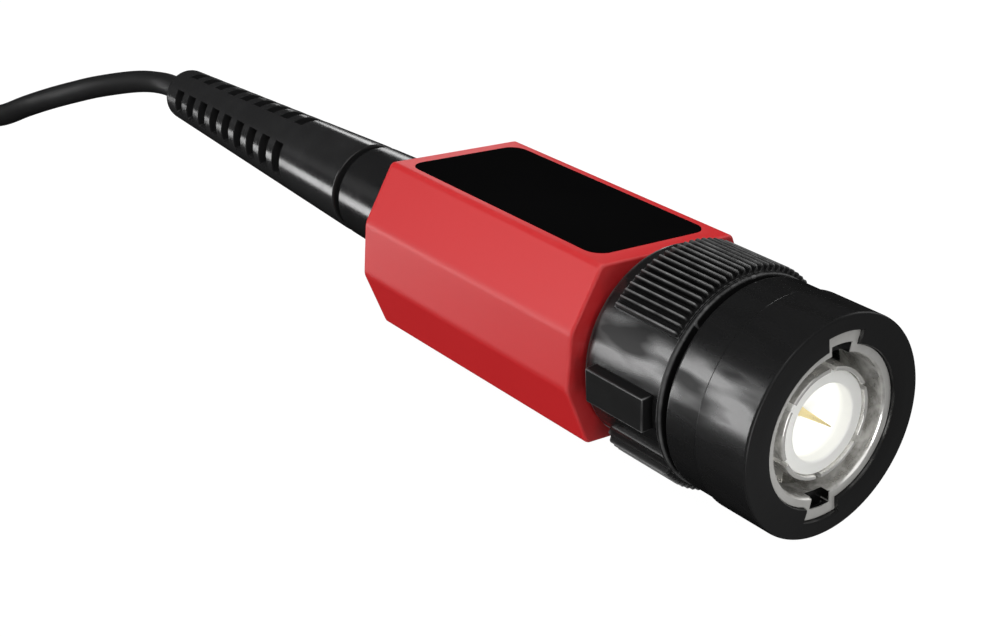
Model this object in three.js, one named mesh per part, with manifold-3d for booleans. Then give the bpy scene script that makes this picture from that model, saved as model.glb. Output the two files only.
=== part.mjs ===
// Oscilloscope probe: compensation box with bayonet coupling, strain relief, cable folded
// into a tied hank, and probe head. Millimetres, +Z up. The coupling's axis runs along X and points +X
// towards the instrument. Places are measured from the middle of the coupling's front face,
// and the whole group is then set down so that its origin is the middle of its footprint.
import * as THREE from "three";
import { mergeVertices } from "three/addons/utils/BufferGeometryUtils.js";
import Module from "manifold-3d";

const wasm = await Module();
wasm.setup();

// ---- Driving dimensions --------------------------------------------------------------
const seat = 0.3; // clearance between pieces that rest on or in each other
const press = 0.12; // radial clearance of concentric pieces that are pressed together
const over = 1; // how far a cutting tool stands past the face that it cuts

const round = 40; // sides of a large round piece
const fine = 28; // sides of a middling one
const small = 16; // sides of a slender one

const shroud = { radius: 7.72, length: 7.3, stepAt: 4.4, step: 0.14, edge: 0.25, spigot: 1.8 };
const groove = { width: 0.6, floor: 6.6 };
const grip = {
  radius: 7.18, length: 7.88, rim: 0.4, rimRadius: 7.62, knurlRadius: 8.05, knurlDepth: 0.42,
  knurlLength: 6.1, knurlPitch: 4, knurlSpan: 104, knurlTurn: 3,
  keyTurn: 7, keyWidth: 2.5, keyLength: 5.6, keyBack: 1.2,
};
const ring = {
  bore: 4.9, radius: 5.58, recess: 0.27, flange: 0.6, chamfer: 0.16,
  tabRadius: 6.52, tabAngle: 28, tabLength: 5, entryRadius: 5.72, entryAngle: 19, entryDepth: 3.4,
  camWidth: 2.3, camTurn: 78, camPitch: 2.5, detentAngle: 22, detentWiden: 0.2, detentBack: 0.15,
};
const sleeve = { radius: 3.9, wall: 0.3, recess: 0.65, slots: 6, slotWidth: 0.5, slotLength: 6.4, root: 1.1 };
const body = {
  shoulderX: 8.9, shoulderRadius: 4.6, shoulderLength: 2.1, neckRadius: 3.6, bore: 2.35,
  flangeRadius: 5.4, flangeLength: 1.58, stubLength: 4.2,
};
const insulator = { recess: 0.9, dishRadius: 2.65, dishDepth: 1.9, pinBore: 0.75 };
const pin = { radius: 0.6, needle: 0.3, point: 0.06, tail: 2.6 };
const gasket = { inner: 4.15, outer: 4.7, height: 0.8 };
const wave = { inner: 3.9, outer: 4.55, thickness: 0.35, waves: 3 };
const slip = { outer: 4.6, thickness: 0.4 };
const nut = { across: 9, thickness: 1.5 };

const box = {
  length: 24.76, half: 8.23, height: 6.587, topHalf: 6, sideHalf: 2.1, wall: 1.3, endWall: 1.5, edge: 0.35,
};
const label = { length: 21.8, width: 10.2, corner: 1.2, back: 1.3, recess: 0.6, proud: 0.04 };
const cap = { neckLength: 10.56, neckFront: 4.25, neckRear: 3.88, bore: 2.5, socketDepth: 2.8, plate: 1.5 };
const boot = {
  gap: 0.8, length: 32.5, front: 3.86, rear: 2.45, spigot: 3.1, edge: 0.5,
  rows: 4, rowTurn: -5, slots: 9, slotPitch: 2.43, slotWidth: 1.3, slotDepth: 0.75, slotAngle: 50,
  firstSlot: 10.1,
};
const ferrule = { radius: 2.2, front: 0.9 };
const core = { radius: 0.4, strip: 2.6, lap: 1 };
const board = { thickness: 1, length: 16, halfWidth: 6.2, front: 0.7 };
const trimmer = { along: 7, size: 5, height: 2.5, rotor: 1.3, rotorHeight: 1.1, slot: 0.4, hole: 1.6 };
const resistor = { radius: 0.9, length: 5, lead: 0.25, leadSpan: 8, side: -3 };
const capacitor = { length: 4.4, width: 2.2, height: 2.6, side: 3, along: 5 };

const cord = { diameter: 2.2, sides: 8 };
const hank = {
  x: -183.5, y: -4.1, run: 36, fold: 6.6, pitch: 2.76, waist: 3, loops: 8, layers: 4, sides: 6,
  runSteps: 6, foldSteps: 6, entryStep: 2, lap: 2, climb: 3, lie: 0.05,
};
const tie = { width: 4, thickness: 0.5, slack: 0.15 };

const head = {
  y: -4.4, bootLength: 18, bootRear: 1.9, bootFront: 3.1, bootRings: 6, bootSpigot: 3,
  handleLength: 50, handleRear: 4.3, shoulder: 4.85, shoulderAt: 6, handleWide: 5.3, belly: 5.1, waist: 4.5,
  guard: 8.3, guardLength: 2.6,
  bore: 2.6, ringDepth: 0.45,
};
const divider = { radius: 1.9, band: 0.3, bandLength: 1.5 };
const groundRing = { radius: 3.9, length: 3.2 };
const nose = { radius: 2.7, front: 2.2, length: 11, tail: 6 };
const needle = { radius: 0.45, reach: 3, tail: 8, point: 0.08 };
const hookBarrel = { radius: 3.5, start: 1.6, length: 12, wall: 1.3 };
const hookWire = { radius: 0.4, socket: 1.4, socketLength: 4, bend: 0.9, lip: 1.4 };
const hookCover = {
  radius: 4.7, flange: 6.4, flangeLength: 2.2, spare: 1, nozzle: 2.4, nozzleLength: 9.5, travel: 5.5,
};
const hookSpring = { wire: 0.45, turns: 4 };

// ---- Solids --------------------------------------------------------------------------

// A closed mesh as a solid: shared corners merged, empty faces dropped, faces turned out.
function toSolid(geometry) {
  const bare = geometry.clone();
  for (const name of Object.keys(bare.attributes)) if (name !== "position") bare.deleteAttribute(name);
  const merged = mergeVertices(bare, 1e-4);
  const faces = [];
  for (let i = 0; i < merged.index.count; i += 3) {
    const [a, b, c] = [0, 1, 2].map((k) => merged.index.getX(i + k));
    if (a !== b && b !== c && a !== c) faces.push([a, b, c]);
  }
  const make = (list) =>
    new wasm.Manifold(
      new wasm.Mesh({
        numProp: 3,
        vertProperties: new Float32Array(merged.attributes.position.array),
        triVerts: new Uint32Array(list.flat()),
      }),
    );
  const solid = make(faces);
  return solid.volume() < 0 ? make(faces.map(([a, b, c]) => [a, c, b])) : solid;
}

function toGeometry(solid) {
  const mesh = solid.getMesh();
  const geometry = new THREE.BufferGeometry();
  const corners = new Float32Array(mesh.numVert * 3);
  for (let i = 0; i < mesh.numVert; i++)
    for (let k = 0; k < 3; k++) corners[i * 3 + k] = mesh.vertProperties[i * mesh.numProp + k];
  geometry.setAttribute("position", new THREE.BufferAttribute(corners, 3));
  geometry.setIndex(new THREE.BufferAttribute(new Uint32Array(mesh.triVerts), 1));
  const flat = geometry.toNonIndexed();
  flat.computeVertexNormals();
  return flat;
}

const join = (first, ...rest) => rest.reduce((sum, solid) => sum.add(solid), first);
const cut = (first, ...rest) => rest.reduce((left, solid) => left.subtract(solid), first);
const radians = THREE.MathUtils.degToRad;

// A profile of [x, radius] points revolved about the X axis.
function turned(profile, sides = fine) {
  const points = profile.map(([x, r]) => new THREE.Vector2(r, x));
  const first = points[0];
  const last = points[points.length - 1];
  if (first.x > 0 || last.x > 0) points.push(first.clone());
  return toSolid(new THREE.LatheGeometry(points, sides).rotateZ(-Math.PI / 2));
}

const rod = (x0, x1, radius, sides) => turned([[x0, 0], [x0, radius], [x1, radius], [x1, 0]], sides);
const tube = (x0, x1, inner, outer, sides) =>
  turned([[x0, inner], [x0, outer], [x1, outer], [x1, inner]], sides);

function block(x0, x1, y0, y1, z0, z1) {
  const shape = new THREE.BoxGeometry(x1 - x0, y1 - y0, z1 - z0);
  return toSolid(shape.translate((x0 + x1) / 2, (y0 + y1) / 2, (z0 + z1) / 2));
}

// A shape drawn in (y, z) and extruded from x0 to x1.
const alongX = new THREE.Matrix4().makeBasis(
  new THREE.Vector3(0, 1, 0),
  new THREE.Vector3(0, 0, 1),
  new THREE.Vector3(1, 0, 0),
);
function prism(shape, x0, x1, edge = 0) {
  const options = {
    depth: x1 - x0 - 2 * edge,
    bevelEnabled: edge > 0,
    bevelThickness: edge,
    bevelSize: edge,
    bevelOffset: -edge,
    bevelSegments: 1,
  };
  const geometry = new THREE.ExtrudeGeometry(shape, options).applyMatrix4(alongX);
  return toSolid(geometry.translate(x0 + edge, 0, 0));
}

const turnX = (solid, degrees) => toSolid(toGeometry(solid).rotateX(radians(degrees)));

// A block between two radii that runs round the axis, its middle at x(t) for t from 0 to 1.
function sector(from, to, inner, outer, halfLength, x, steps) {
  const corners = [];
  const faces = [];
  for (let i = 0; i <= steps; i++) {
    const t = i / steps;
    const angle = radians(from + (to - from) * t);
    for (const [dx, r] of [[-1, inner], [-1, outer], [1, outer], [1, inner]])
      corners.push(x(t) + dx * halfLength, r * Math.cos(angle), r * Math.sin(angle));
  }
  for (let i = 0; i < steps; i++)
    for (let k = 0; k < 4; k++) {
      const a = i * 4 + k;
      const b = i * 4 + ((k + 1) % 4);
      faces.push(a, b, b + 4, a, b + 4, a + 4);
    }
  const end = steps * 4;
  faces.push(0, 2, 1, 0, 3, 2, end, end + 1, end + 2, end, end + 2, end + 3);
  const geometry = new THREE.BufferGeometry();
  geometry.setAttribute("position", new THREE.Float32BufferAttribute(corners, 3));
  geometry.setIndex(faces);
  return toSolid(geometry);
}

// ---- Places along the axis, worked out from the dimensions ------------------------------
const grooveX = -shroud.length;
const gripFront = grooveX - groove.width;
const gripRear = gripFront - grip.length;
const boxFront = gripRear - seat;
const boxRear = boxFront - box.length;
const neckRear = boxRear - cap.neckLength;
const bootFront = neckRear - boot.gap;
const bootRear = bootFront - boot.length;
const spigotEnd = neckRear + cap.socketDepth;
const wallInside = boxFront - box.endWall;
const couplingBore = ring.radius + press;
const shoulderRear = -body.shoulderX - body.shoulderLength;
const flangeFront = gripRear + body.flangeLength;
const ringRear = flangeFront + seat;
const slipRear = ringRear + ring.flange + seat;
const slipFront = slipRear + slip.thickness;
const stubRear = gripRear - body.stubLength;
const cordBore = cord.diameter / 2 + seat;
const floorZ = -grip.knurlRadius;
const boardTop = -pin.radius - seat;
const boardBottom = boardTop - board.thickness;
const boardFront = stubRear - board.front;
const boardRear = boardFront - board.length;

// ---- Bayonet coupling ------------------------------------------------------------------

function makeShroud() {
  const spigotX = grooveX + shroud.spigot;
  const outside = shroud.radius - shroud.step;
  const shell = turned(
    [
      [grooveX, groove.floor + press],
      [grooveX, outside - shroud.edge],
      [grooveX + shroud.edge, outside],
      [-shroud.stepAt, outside],
      [-shroud.stepAt, shroud.radius],
      [-shroud.edge, shroud.radius],
      [0, shroud.radius - shroud.edge],
      [0, couplingBore],
      [spigotX, couplingBore],
      [spigotX, groove.floor + press],
    ],
    round,
  );
  const half = ring.tabAngle / 2 + THREE.MathUtils.radToDeg(press / ring.radius);
  const reach = (ring.recess + ring.tabLength + seat + over) / 2;
  const keyway = (turn) =>
    sector(turn - half, turn + half, ring.bore, ring.tabRadius + press, reach, () => over - reach, 8);
  return cut(shell, keyway(90), keyway(270));
}

// One knurled sector: a band of ridges between two angles.
function knurlShape(from, to) {
  const shape = new THREE.Shape();
  const root = grip.knurlRadius - grip.knurlDepth;
  const ridges = Math.floor((to - from) / grip.knurlPitch);
  const at = (r, degrees) => [r * Math.cos(radians(degrees)), r * Math.sin(radians(degrees))];
  shape.moveTo(...at(root, from));
  for (let i = 0; i < ridges; i++) {
    const start = from + i * grip.knurlPitch;
    shape.lineTo(...at(root, start + grip.knurlPitch * 0.3));
    shape.lineTo(...at(grip.knurlRadius, start + grip.knurlPitch * 0.5));
    shape.lineTo(...at(grip.knurlRadius, start + grip.knurlPitch * 0.8));
    shape.lineTo(...at(root, start + grip.knurlPitch));
  }
  const inside = grip.radius - seat;
  const arc = 12;
  for (let i = arc; i >= 0; i--) shape.lineTo(...at(inside, from + ((to - from) * i) / arc));
  return shape;
}

function makeGrip() {
  const spigotFront = gripFront + groove.width + shroud.spigot - seat;
  const barrel = turned(
    [
      [gripRear, couplingBore],
      [gripRear, grip.radius],
      [gripFront - grip.rim, grip.radius],
      [gripFront - grip.rim, grip.rimRadius],
      [gripFront, grip.rimRadius],
      [gripFront, groove.floor],
      [spigotFront, groove.floor],
      [spigotFront, couplingBore],
    ],
    round,
  );
  const knurlFront = gripFront - grip.rim;
  const half = grip.knurlSpan / 2;
  const knurls = [90, 270].map((turn) => {
    const middle = turn + grip.knurlTurn;
    const shape = knurlShape(middle - half, middle + half);
    return prism(shape, knurlFront - grip.knurlLength, knurlFront);
  });
  const keyRear = gripRear + grip.keyBack;
  const keyHalf = grip.keyWidth / 2;
  const keyFoot = grip.radius - seat;
  const key = block(keyRear, keyRear + grip.keyLength, keyFoot, grip.knurlRadius, -keyHalf, keyHalf);
  return join(barrel, ...knurls, turnX(key, grip.keyTurn), turnX(key, grip.keyTurn + 180));
}

function makeBayonetRing() {
  const front = -ring.recess;
  const inner = body.neckRadius + seat;
  const shell = turned(
    [
      [ringRear, inner],
      [ringRear, ring.radius],
      [front, ring.radius],
      [front, ring.bore + ring.chamfer],
      [front - ring.chamfer, ring.bore],
      [ringRear + ring.flange, ring.bore],
      [ringRear + ring.flange, inner],
    ],
    round,
  );
  const tabs = [];
  const slots = [];
  const tabMiddle = front - ring.tabLength / 2;
  const entry = (ring.entryDepth + over) / 2;
  const camX = front - ring.entryDepth + ring.camWidth / 2;
  const camEnd = camX - ring.camPitch - ring.detentBack;
  const through = ring.radius + seat;
  for (const turn of [90, 270]) {
    const around = (angle, inner, outer, half, x) =>
      sector(turn - angle / 2, turn + angle / 2, inner, outer, half, () => x, 6);
    tabs.push(around(ring.tabAngle, ring.bore + seat, ring.tabRadius, ring.tabLength / 2, tabMiddle));
    slots.push(around(ring.entryAngle, ring.bore - over, ring.entryRadius, entry, front + over - entry));
    const end = turn - ring.camTurn;
    const cam = (t) => camX - ring.camPitch * t;
    const start = turn + ring.entryAngle / 2;
    slots.push(sector(start, end, ring.bore - over, through, ring.camWidth / 2, cam, 16));
    const half = ring.camWidth / 2 + ring.detentWiden;
    const detentHalf = ring.detentAngle / 2;
    slots.push(sector(end - detentHalf, end + detentHalf, ring.bore - over, through, half, () => camEnd, 6));
  }
  return cut(join(shell, ...tabs), ...slots);
}

// ---- Connector inside the coupling -----------------------------------------------------

function makeBody() {
  const counterbore = sleeve.radius + press;
  return turned(
    [
      [stubRear, body.bore],
      [stubRear, body.neckRadius],
      [gripRear, body.neckRadius],
      [gripRear, body.flangeRadius],
      [flangeFront, body.flangeRadius],
      [flangeFront, body.neckRadius],
      [shoulderRear, body.neckRadius],
      [shoulderRear, body.shoulderRadius],
      [-body.shoulderX, body.shoulderRadius],
      [-body.shoulderX, counterbore],
      [-body.shoulderX - sleeve.root, counterbore],
      [-body.shoulderX - sleeve.root, body.bore],
    ],
    round,
  );
}

function makeSleeve() {
  const rear = -body.shoulderX - sleeve.root + seat;
  const shell = tube(rear, -sleeve.recess, sleeve.radius - sleeve.wall, sleeve.radius, round);
  const tools = [];
  for (let i = 0; i < sleeve.slots; i++) {
    const half = sleeve.slotWidth / 2;
    const inside = sleeve.radius - sleeve.wall - over;
    const slot = block(-sleeve.recess - sleeve.slotLength, over, inside, sleeve.radius + over, -half, half);
    tools.push(turnX(slot, 30 + (360 / sleeve.slots) * i));
  }
  return cut(shell, ...tools);
}

function makeInsulator() {
  const disc = sleeve.radius - sleeve.wall - press;
  const floor = -body.shoulderX - sleeve.root + seat;
  const stem = body.bore - press;
  return turned(
    [
      [stubRear + seat, insulator.pinBore],
      [stubRear + seat, stem],
      [floor, stem],
      [floor, disc],
      [-insulator.recess, disc],
      [-insulator.recess, insulator.dishRadius],
      [-insulator.recess - insulator.dishDepth, insulator.dishRadius],
      [-insulator.recess - insulator.dishDepth, insulator.pinBore],
    ],
    fine,
  );
}

function makePin() {
  const dishFloor = -insulator.recess - insulator.dishDepth;
  return turned(
    [
      [stubRear - pin.tail, 0],
      [stubRear - pin.tail, pin.radius],
      [dishFloor - pin.radius, pin.radius],
      [dishFloor, pin.needle],
      [-seat, pin.point],
      [-seat + pin.point, 0],
    ],
    small,
  );
}

const makeGasket = () =>
  tube(-body.shoulderX + seat, -body.shoulderX + seat + gasket.height, gasket.inner, gasket.outer, fine);

// A flat ring that waves to and fro along the axis.
function makeWaveSpring() {
  const [rear, front] = [slipFront + seat, shoulderRear - seat];
  const swing = (front - rear - wave.thickness) / 2;
  const x = (t) => (rear + front) / 2 - swing * Math.cos(2 * Math.PI * wave.waves * t);
  return sector(0, 352, wave.inner, wave.outer, wave.thickness / 2, x, 44);
}

const makeSlipWasher = () => tube(slipRear, slipFront, body.neckRadius + seat, slip.outer, fine);

function makeBodyNut() {
  const front = wallInside - seat;
  const hexagon = prism(regular(6, nut.across / 2 / Math.cos(Math.PI / 6)), front - nut.thickness, front);
  return cut(hexagon, rod(front - nut.thickness - over, front + over, body.neckRadius + seat, fine));
}

function regular(sides, radius) {
  const shape = new THREE.Shape();
  for (let i = 0; i < sides; i++) {
    const angle = (2 * Math.PI * i) / sides;
    if (i === 0) shape.moveTo(radius, 0);
    else shape.lineTo(radius * Math.cos(angle), radius * Math.sin(angle));
  }
  return shape;
}

// ---- Compensation box --------------------------------------------------------------------

// The long octagonal section of the box, drawn in (y, z) and drawn in by an inset.
function boxShape(inset) {
  const slope = (box.half - box.topHalf) / (box.height - box.sideHalf);
  const side = box.half - inset;
  const top = box.height - inset;
  const topHalf = box.topHalf - inset * (Math.hypot(1, slope) - slope);
  const sideHalf = top - (side - topHalf) / slope;
  const shape = new THREE.Shape();
  shape.moveTo(side, -sideHalf);
  shape.lineTo(side, sideHalf);
  shape.lineTo(topHalf, top);
  shape.lineTo(-topHalf, top);
  shape.lineTo(-side, sideHalf);
  shape.lineTo(-side, -sideHalf);
  shape.lineTo(-topHalf, -top);
  shape.lineTo(topHalf, -top);
  return shape;
}

const labelMiddle = boxRear + label.back + label.length / 2;

// The label's rounded plate between two heights, grown by a clearance.
function labelPlate(grow, z0, z1) {
  const [a, b] = [label.length / 2 - label.corner, label.width / 2 - label.corner];
  const corner = label.corner + grow;
  const shape = new THREE.Shape();
  shape.absarc(a, b, corner, 0, Math.PI / 2);
  shape.absarc(-a, b, corner, Math.PI / 2, Math.PI);
  shape.absarc(-a, -b, corner, Math.PI, Math.PI * 1.5);
  shape.absarc(a, -b, corner, Math.PI * 1.5, Math.PI * 2);
  const options = { depth: z1 - z0, bevelEnabled: false, curveSegments: 6 };
  return toSolid(new THREE.ExtrudeGeometry(shape, options).translate(labelMiddle, 0, z0));
}

function makeHousing() {
  const shell = prism(boxShape(0), boxRear, boxFront, box.edge);
  const cavity = prism(boxShape(box.wall), boxRear - over, wallInside);
  const frontHole = rod(wallInside - over, boxFront + over, body.neckRadius + seat, fine);
  const recess = labelPlate(seat, box.height - label.recess, box.height + over);
  const trimHole = trimmerPin(trimmer.hole, -box.height - over, -box.height + box.wall + over);
  return cut(shell, cavity, frontHole, recess, trimHole);
}

const makeLabel = () => labelPlate(0, box.height - label.recess + seat, box.height + label.proud);

function makeCap() {
  const plate = prism(boxShape(box.wall + seat), boxRear, boxRear + cap.plate);
  const neck = rodTapered(neckRear, boxRear + over, cap.neckRear, cap.neckFront);
  const socket = rod(neckRear - over, spigotEnd + seat, boot.spigot + seat, fine);
  const bore = rod(neckRear, boxRear + cap.plate + over, cap.bore, fine);
  return cut(join(plate, neck), socket, bore);
}

const rodTapered = (x0, x1, r0, r1) => turned([[x0, 0], [x0, r0], [x1, r1], [x1, 0]], round);

function makeBoot() {
  const shell = turned(
    [
      [bootRear, cordBore],
      [bootRear, boot.rear - boot.edge],
      [bootRear + boot.edge * 0.35, boot.rear - boot.edge * 0.3],
      [bootRear + boot.edge, boot.rear],
      [bootFront, boot.front],
      [bootFront, boot.spigot],
      [spigotEnd, boot.spigot],
      [spigotEnd, cordBore],
    ],
    fine,
  );
  const tools = [];
  for (let row = 0; row < boot.rows; row++)
    for (let i = 0; i < boot.slots; i++) {
      const x = bootFront - boot.firstSlot - i * boot.slotPitch;
      const outside = boot.front + ((boot.rear - boot.front) * (bootFront - x)) / boot.length;
      const middle = 180 + boot.rowTurn + (360 / boot.rows) * row;
      const half = boot.slotAngle / 2;
      const floor = outside - boot.slotDepth;
      tools.push(sector(middle - half, middle + half, floor, outside + over, boot.slotWidth / 2, () => x, 2));
    }
  return cut(shell, ...tools);
}

const makeFerrule = () => tube(spigotEnd + seat, boxRear - ferrule.front, cordBore, ferrule.radius, fine);

function makeInnerRun() {
  const jacketFront = boxRear + core.strip;
  const coreEnd = boardRear + core.lap;
  return turned(
    [
      [bootRear, 0],
      [bootRear, cord.diameter / 2],
      [jacketFront, cord.diameter / 2],
      [jacketFront, core.radius],
      [coreEnd, core.radius],
      [coreEnd, 0],
    ],
    small,
  );
}

const trimmerX = boardFront - trimmer.along;

function makeBoard() {
  const slab = block(boardRear, boardFront, -board.halfWidth, board.halfWidth, boardBottom, boardTop);
  const half = resistor.lead + seat;
  const [side, otherSide] = [resistor.side - half, resistor.side + half];
  const hole = (x) => block(x - half, x + half, side, otherSide, boardBottom - over, boardTop + over);
  return cut(slab, hole(resistorX - legReach), hole(resistorX + legReach));
}

const resistorX = boardFront - board.length / 2;
const legReach = resistor.leadSpan / 2 - resistor.lead;

function makeResistor() {
  const z = boardTop + seat + resistor.radius;
  const half = resistor.length / 2;
  const reach = resistor.leadSpan / 2;
  const barrel = turned(
    [
      [-reach, 0],
      [-reach, resistor.lead],
      [-half, resistor.lead],
      [-half, resistor.radius * 0.9],
      [-half * 0.6, resistor.radius],
      [-half * 0.45, resistor.radius * 0.86],
      [half * 0.45, resistor.radius * 0.86],
      [half * 0.6, resistor.radius],
      [half, resistor.radius * 0.9],
      [half, resistor.lead],
      [reach, resistor.lead],
      [reach, 0],
    ],
    10,
  );
  const leg = (x) => {
    const length = z - boardBottom;
    const wire = new THREE.CylinderGeometry(resistor.lead, resistor.lead, length, 8).rotateX(Math.PI / 2);
    return toSolid(wire.translate(x, 0, -length / 2));
  };
  const solid = join(barrel, leg(-legReach), leg(legReach));
  return toSolid(toGeometry(solid).translate(resistorX, resistor.side, z));
}

function makeCapacitor() {
  const x = boardFront - capacitor.along;
  const z = boardTop + seat;
  const [half, side] = [capacitor.length / 2, capacitor.width / 2];
  return block(x - half, x + half, capacitor.side - side, capacitor.side + side, z, z + capacitor.height);
}

const trimmerTop = boardBottom - seat;
const trimmerBottom = trimmerTop - trimmer.height;
const rotorBottom = trimmerBottom - seat;

// An upright cylinder on the trimmer's axis between two heights.
function trimmerPin(radius, z0, z1) {
  const pinShape = new THREE.CylinderGeometry(radius, radius, z1 - z0, small).rotateX(Math.PI / 2);
  return toSolid(pinShape.translate(trimmerX, 0, (z0 + z1) / 2));
}

function makeTrimmerBody() {
  const half = trimmer.size / 2;
  const base = block(trimmerX - half, trimmerX + half, -half, half, trimmerBottom, trimmerTop);
  const recess = trimmerPin(trimmer.rotor + seat, trimmerBottom - over, trimmerBottom + trimmer.rotorHeight);
  return cut(base, recess);
}

function makeTrimmerRotor() {
  const disc = trimmerPin(trimmer.rotor, rotorBottom, rotorBottom + trimmer.rotorHeight);
  const half = trimmer.slot / 2;
  const across = trimmer.rotor + over;
  const depth = rotorBottom + trimmer.rotorHeight / 2;
  return cut(disc, block(trimmerX - half, trimmerX + half, -across, across, rotorBottom - over, depth));
}

// ---- Cable ---------------------------------------------------------------------------------

const cordRadius = cord.diameter / 2;
const loopSteps = 2 * (hank.runSteps + hank.foldSteps);
const hankBase = floorZ + hank.lie + cordRadius;
const waistLift = tie.thickness + seat + tie.slack;

// One point of a loop: a run heading for -X, a fold, a run heading back, and the other fold.
// At the waist, in the middle of the runs, all of them are drawn in and lifted alike.
function hankPoint(step, radius, level) {
  const half = loopSteps / 2;
  const part = step % half;
  const side = step % loopSteps < half ? -1 : 1;
  const along = hank.run * (Math.min(part / hank.runSteps, 1) - 0.5);
  const angle = (Math.PI * Math.max(part - hank.runSteps, 0)) / hank.foldSteps;
  const waist = Math.cos((Math.PI * along) / hank.run) ** 2;
  return new THREE.Vector3(
    hank.x + side * (along + radius * Math.sin(angle)),
    hank.y + side * (radius * Math.cos(angle) - hank.waist * waist),
    hankBase + level * hank.pitch + waistLift * waist,
  );
}

// Centreline of the hank: layers that spiral in and out again and climb along a run. It
// starts and ends on a run, and goes on there for one diameter.
function hankPath() {
  const steps = hank.loops * loopSteps + hank.lap;
  const perLayer = steps / hank.layers;
  const swing = (perLayer / loopSteps) * hank.pitch;
  const extra = (cord.diameter * hank.runSteps) / hank.run;
  const points = [hankPoint(hank.entryStep - extra, hank.fold + swing, 0)];
  for (let i = 0; i <= steps; i++) {
    const layer = Math.min(Math.floor(i / perLayer), hank.layers - 1);
    const done = i / perLayer - layer;
    const radius = hank.fold + swing * (layer % 2 === 0 ? 1 - done : done);
    let level = layer;
    const toNext = (layer + 1) * perLayer - i;
    const fromLast = i - layer * perLayer;
    if (layer < hank.layers - 1 && toNext < hank.climb / 2) level += 0.5 - toNext / hank.climb;
    if (layer > 0 && fromLast < hank.climb / 2) level -= 0.5 - fromLast / hank.climb;
    points.push(hankPoint(hank.entryStep + i, radius, level));
  }
  points.push(hankPoint(hank.entryStep + steps + extra, hank.fold + swing, hank.layers - 1));
  return points;
}

// A tube with flat ends through points, its section kept upright.
function sweep(points, radius, sides, up = new THREE.Vector3(0, 0, 1)) {
  const corners = [];
  const faces = [];
  const last = points.length - 1;
  points.forEach((point, i) => {
    const ahead = points[Math.min(i + 1, last)].clone().sub(points[Math.max(i - 1, 0)]).normalize();
    const side = ahead.clone().cross(up).normalize();
    const top = side.clone().cross(ahead);
    for (let k = 0; k < sides; k++) {
      const angle = (2 * Math.PI * (k + 0.5)) / sides;
      const corner = point.clone();
      corner.addScaledVector(side, radius * Math.cos(angle)).addScaledVector(top, radius * Math.sin(angle));
      corners.push(corner.x, corner.y, corner.z);
    }
  });
  for (let i = 0; i < last; i++)
    for (let k = 0; k < sides; k++) {
      const a = i * sides + k;
      const b = i * sides + ((k + 1) % sides);
      faces.push(a, b, b + sides, a, b + sides, a + sides);
    }
  for (let k = 1; k < sides - 1; k++) {
    faces.push(0, k + 1, k);
    faces.push(last * sides, last * sides + k, last * sides + k + 1);
  }
  const geometry = new THREE.BufferGeometry();
  geometry.setAttribute("position", new THREE.Float32BufferAttribute(corners, 3));
  geometry.setIndex(faces);
  return toSolid(geometry);
}

// The least distance between the surfaces of runs that don't follow each other.
function leastGap(points, diameter, skip) {
  const nearest = new THREE.Vector3();
  let least = Infinity;
  for (let i = 0; i < points.length; i++)
    for (let j = i + skip; j < points.length - 1; j++) {
      new THREE.Line3(points[j], points[j + 1]).closestPointToPoint(points[i], true, nearest);
      least = Math.min(least, points[i].distanceTo(nearest));
    }
  return least - diameter;
}

const hankLine = hankPath();

// The place at a distance past the hank's start or end, in line with it.
function pastEnd(end, before, distance) {
  return end.clone().add(end.clone().sub(before).setLength(distance)).toArray();
}
const hankIn = pastEnd(hankLine[0], hankLine[1], seat);
const hankOut = pastEnd(...hankLine.slice(-2).reverse(), seat);

// Points chosen by hand, from the boot to the hank and from the hank to the probe head.
const leadRoute = [
  [bootRear - seat, 0, 0],
  [-87.3, 0, 0],
  [-89.4, -0.35, -0.05],
  [-91.7, -1.55, -0.3],
  [-95.7, -4.15, -1.5],
  [-98.6, -5.6, -2.65],
  [-101.8, -6.9, -4],
  [-104.4, -8.4, -5.3],
  [-106.1, -10.4, -6.45],
  [-108, -12.5, -6.84],
  [-110.8, -14.4, -6.88],
  [-115, -15.7, -6.88],
  [-120.5, -16.25, -6.88],
  [-128, -16.4, -6.88],
  [-137, -16.4, -6.88],
  [-146, -16.4, -6.88],
  [-155.5, -16.45, -6.88],
  [-165, -16.4, -6.85],
  [-171, -15.55, -6.6],
  hankIn,
];

// A route as a tube, its path passing through every point.
function cordTube(route) {
  const path = new THREE.CatmullRomCurve3(route.map((p) => new THREE.Vector3(...p)), false, "centripetal");
  const section = new THREE.Shape();
  for (let k = 0; k < cord.sides; k++) {
    const angle = (2 * Math.PI * (k + 0.5)) / cord.sides;
    const corner = [cordRadius * Math.cos(angle), cordRadius * Math.sin(angle)];
    if (k === 0) section.moveTo(...corner);
    else section.lineTo(...corner);
  }
  const steps = Math.round(path.getLength() / (cord.diameter * 0.9));
  const options = { steps, extrudePath: path, bevelEnabled: false, curveSegments: 1 };
  return { solid: toSolid(new THREE.ExtrudeGeometry(section, options)), length: path.getLength() };
}

// The tie: a strap round all the runs at the waist, lying on the surface below it.
const bundle = new THREE.Box3().setFromPoints(hankLine.filter((point) => Math.abs(point.x - hank.x) < over));
bundle.expandByScalar(cordRadius + seat + tie.slack);

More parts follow.
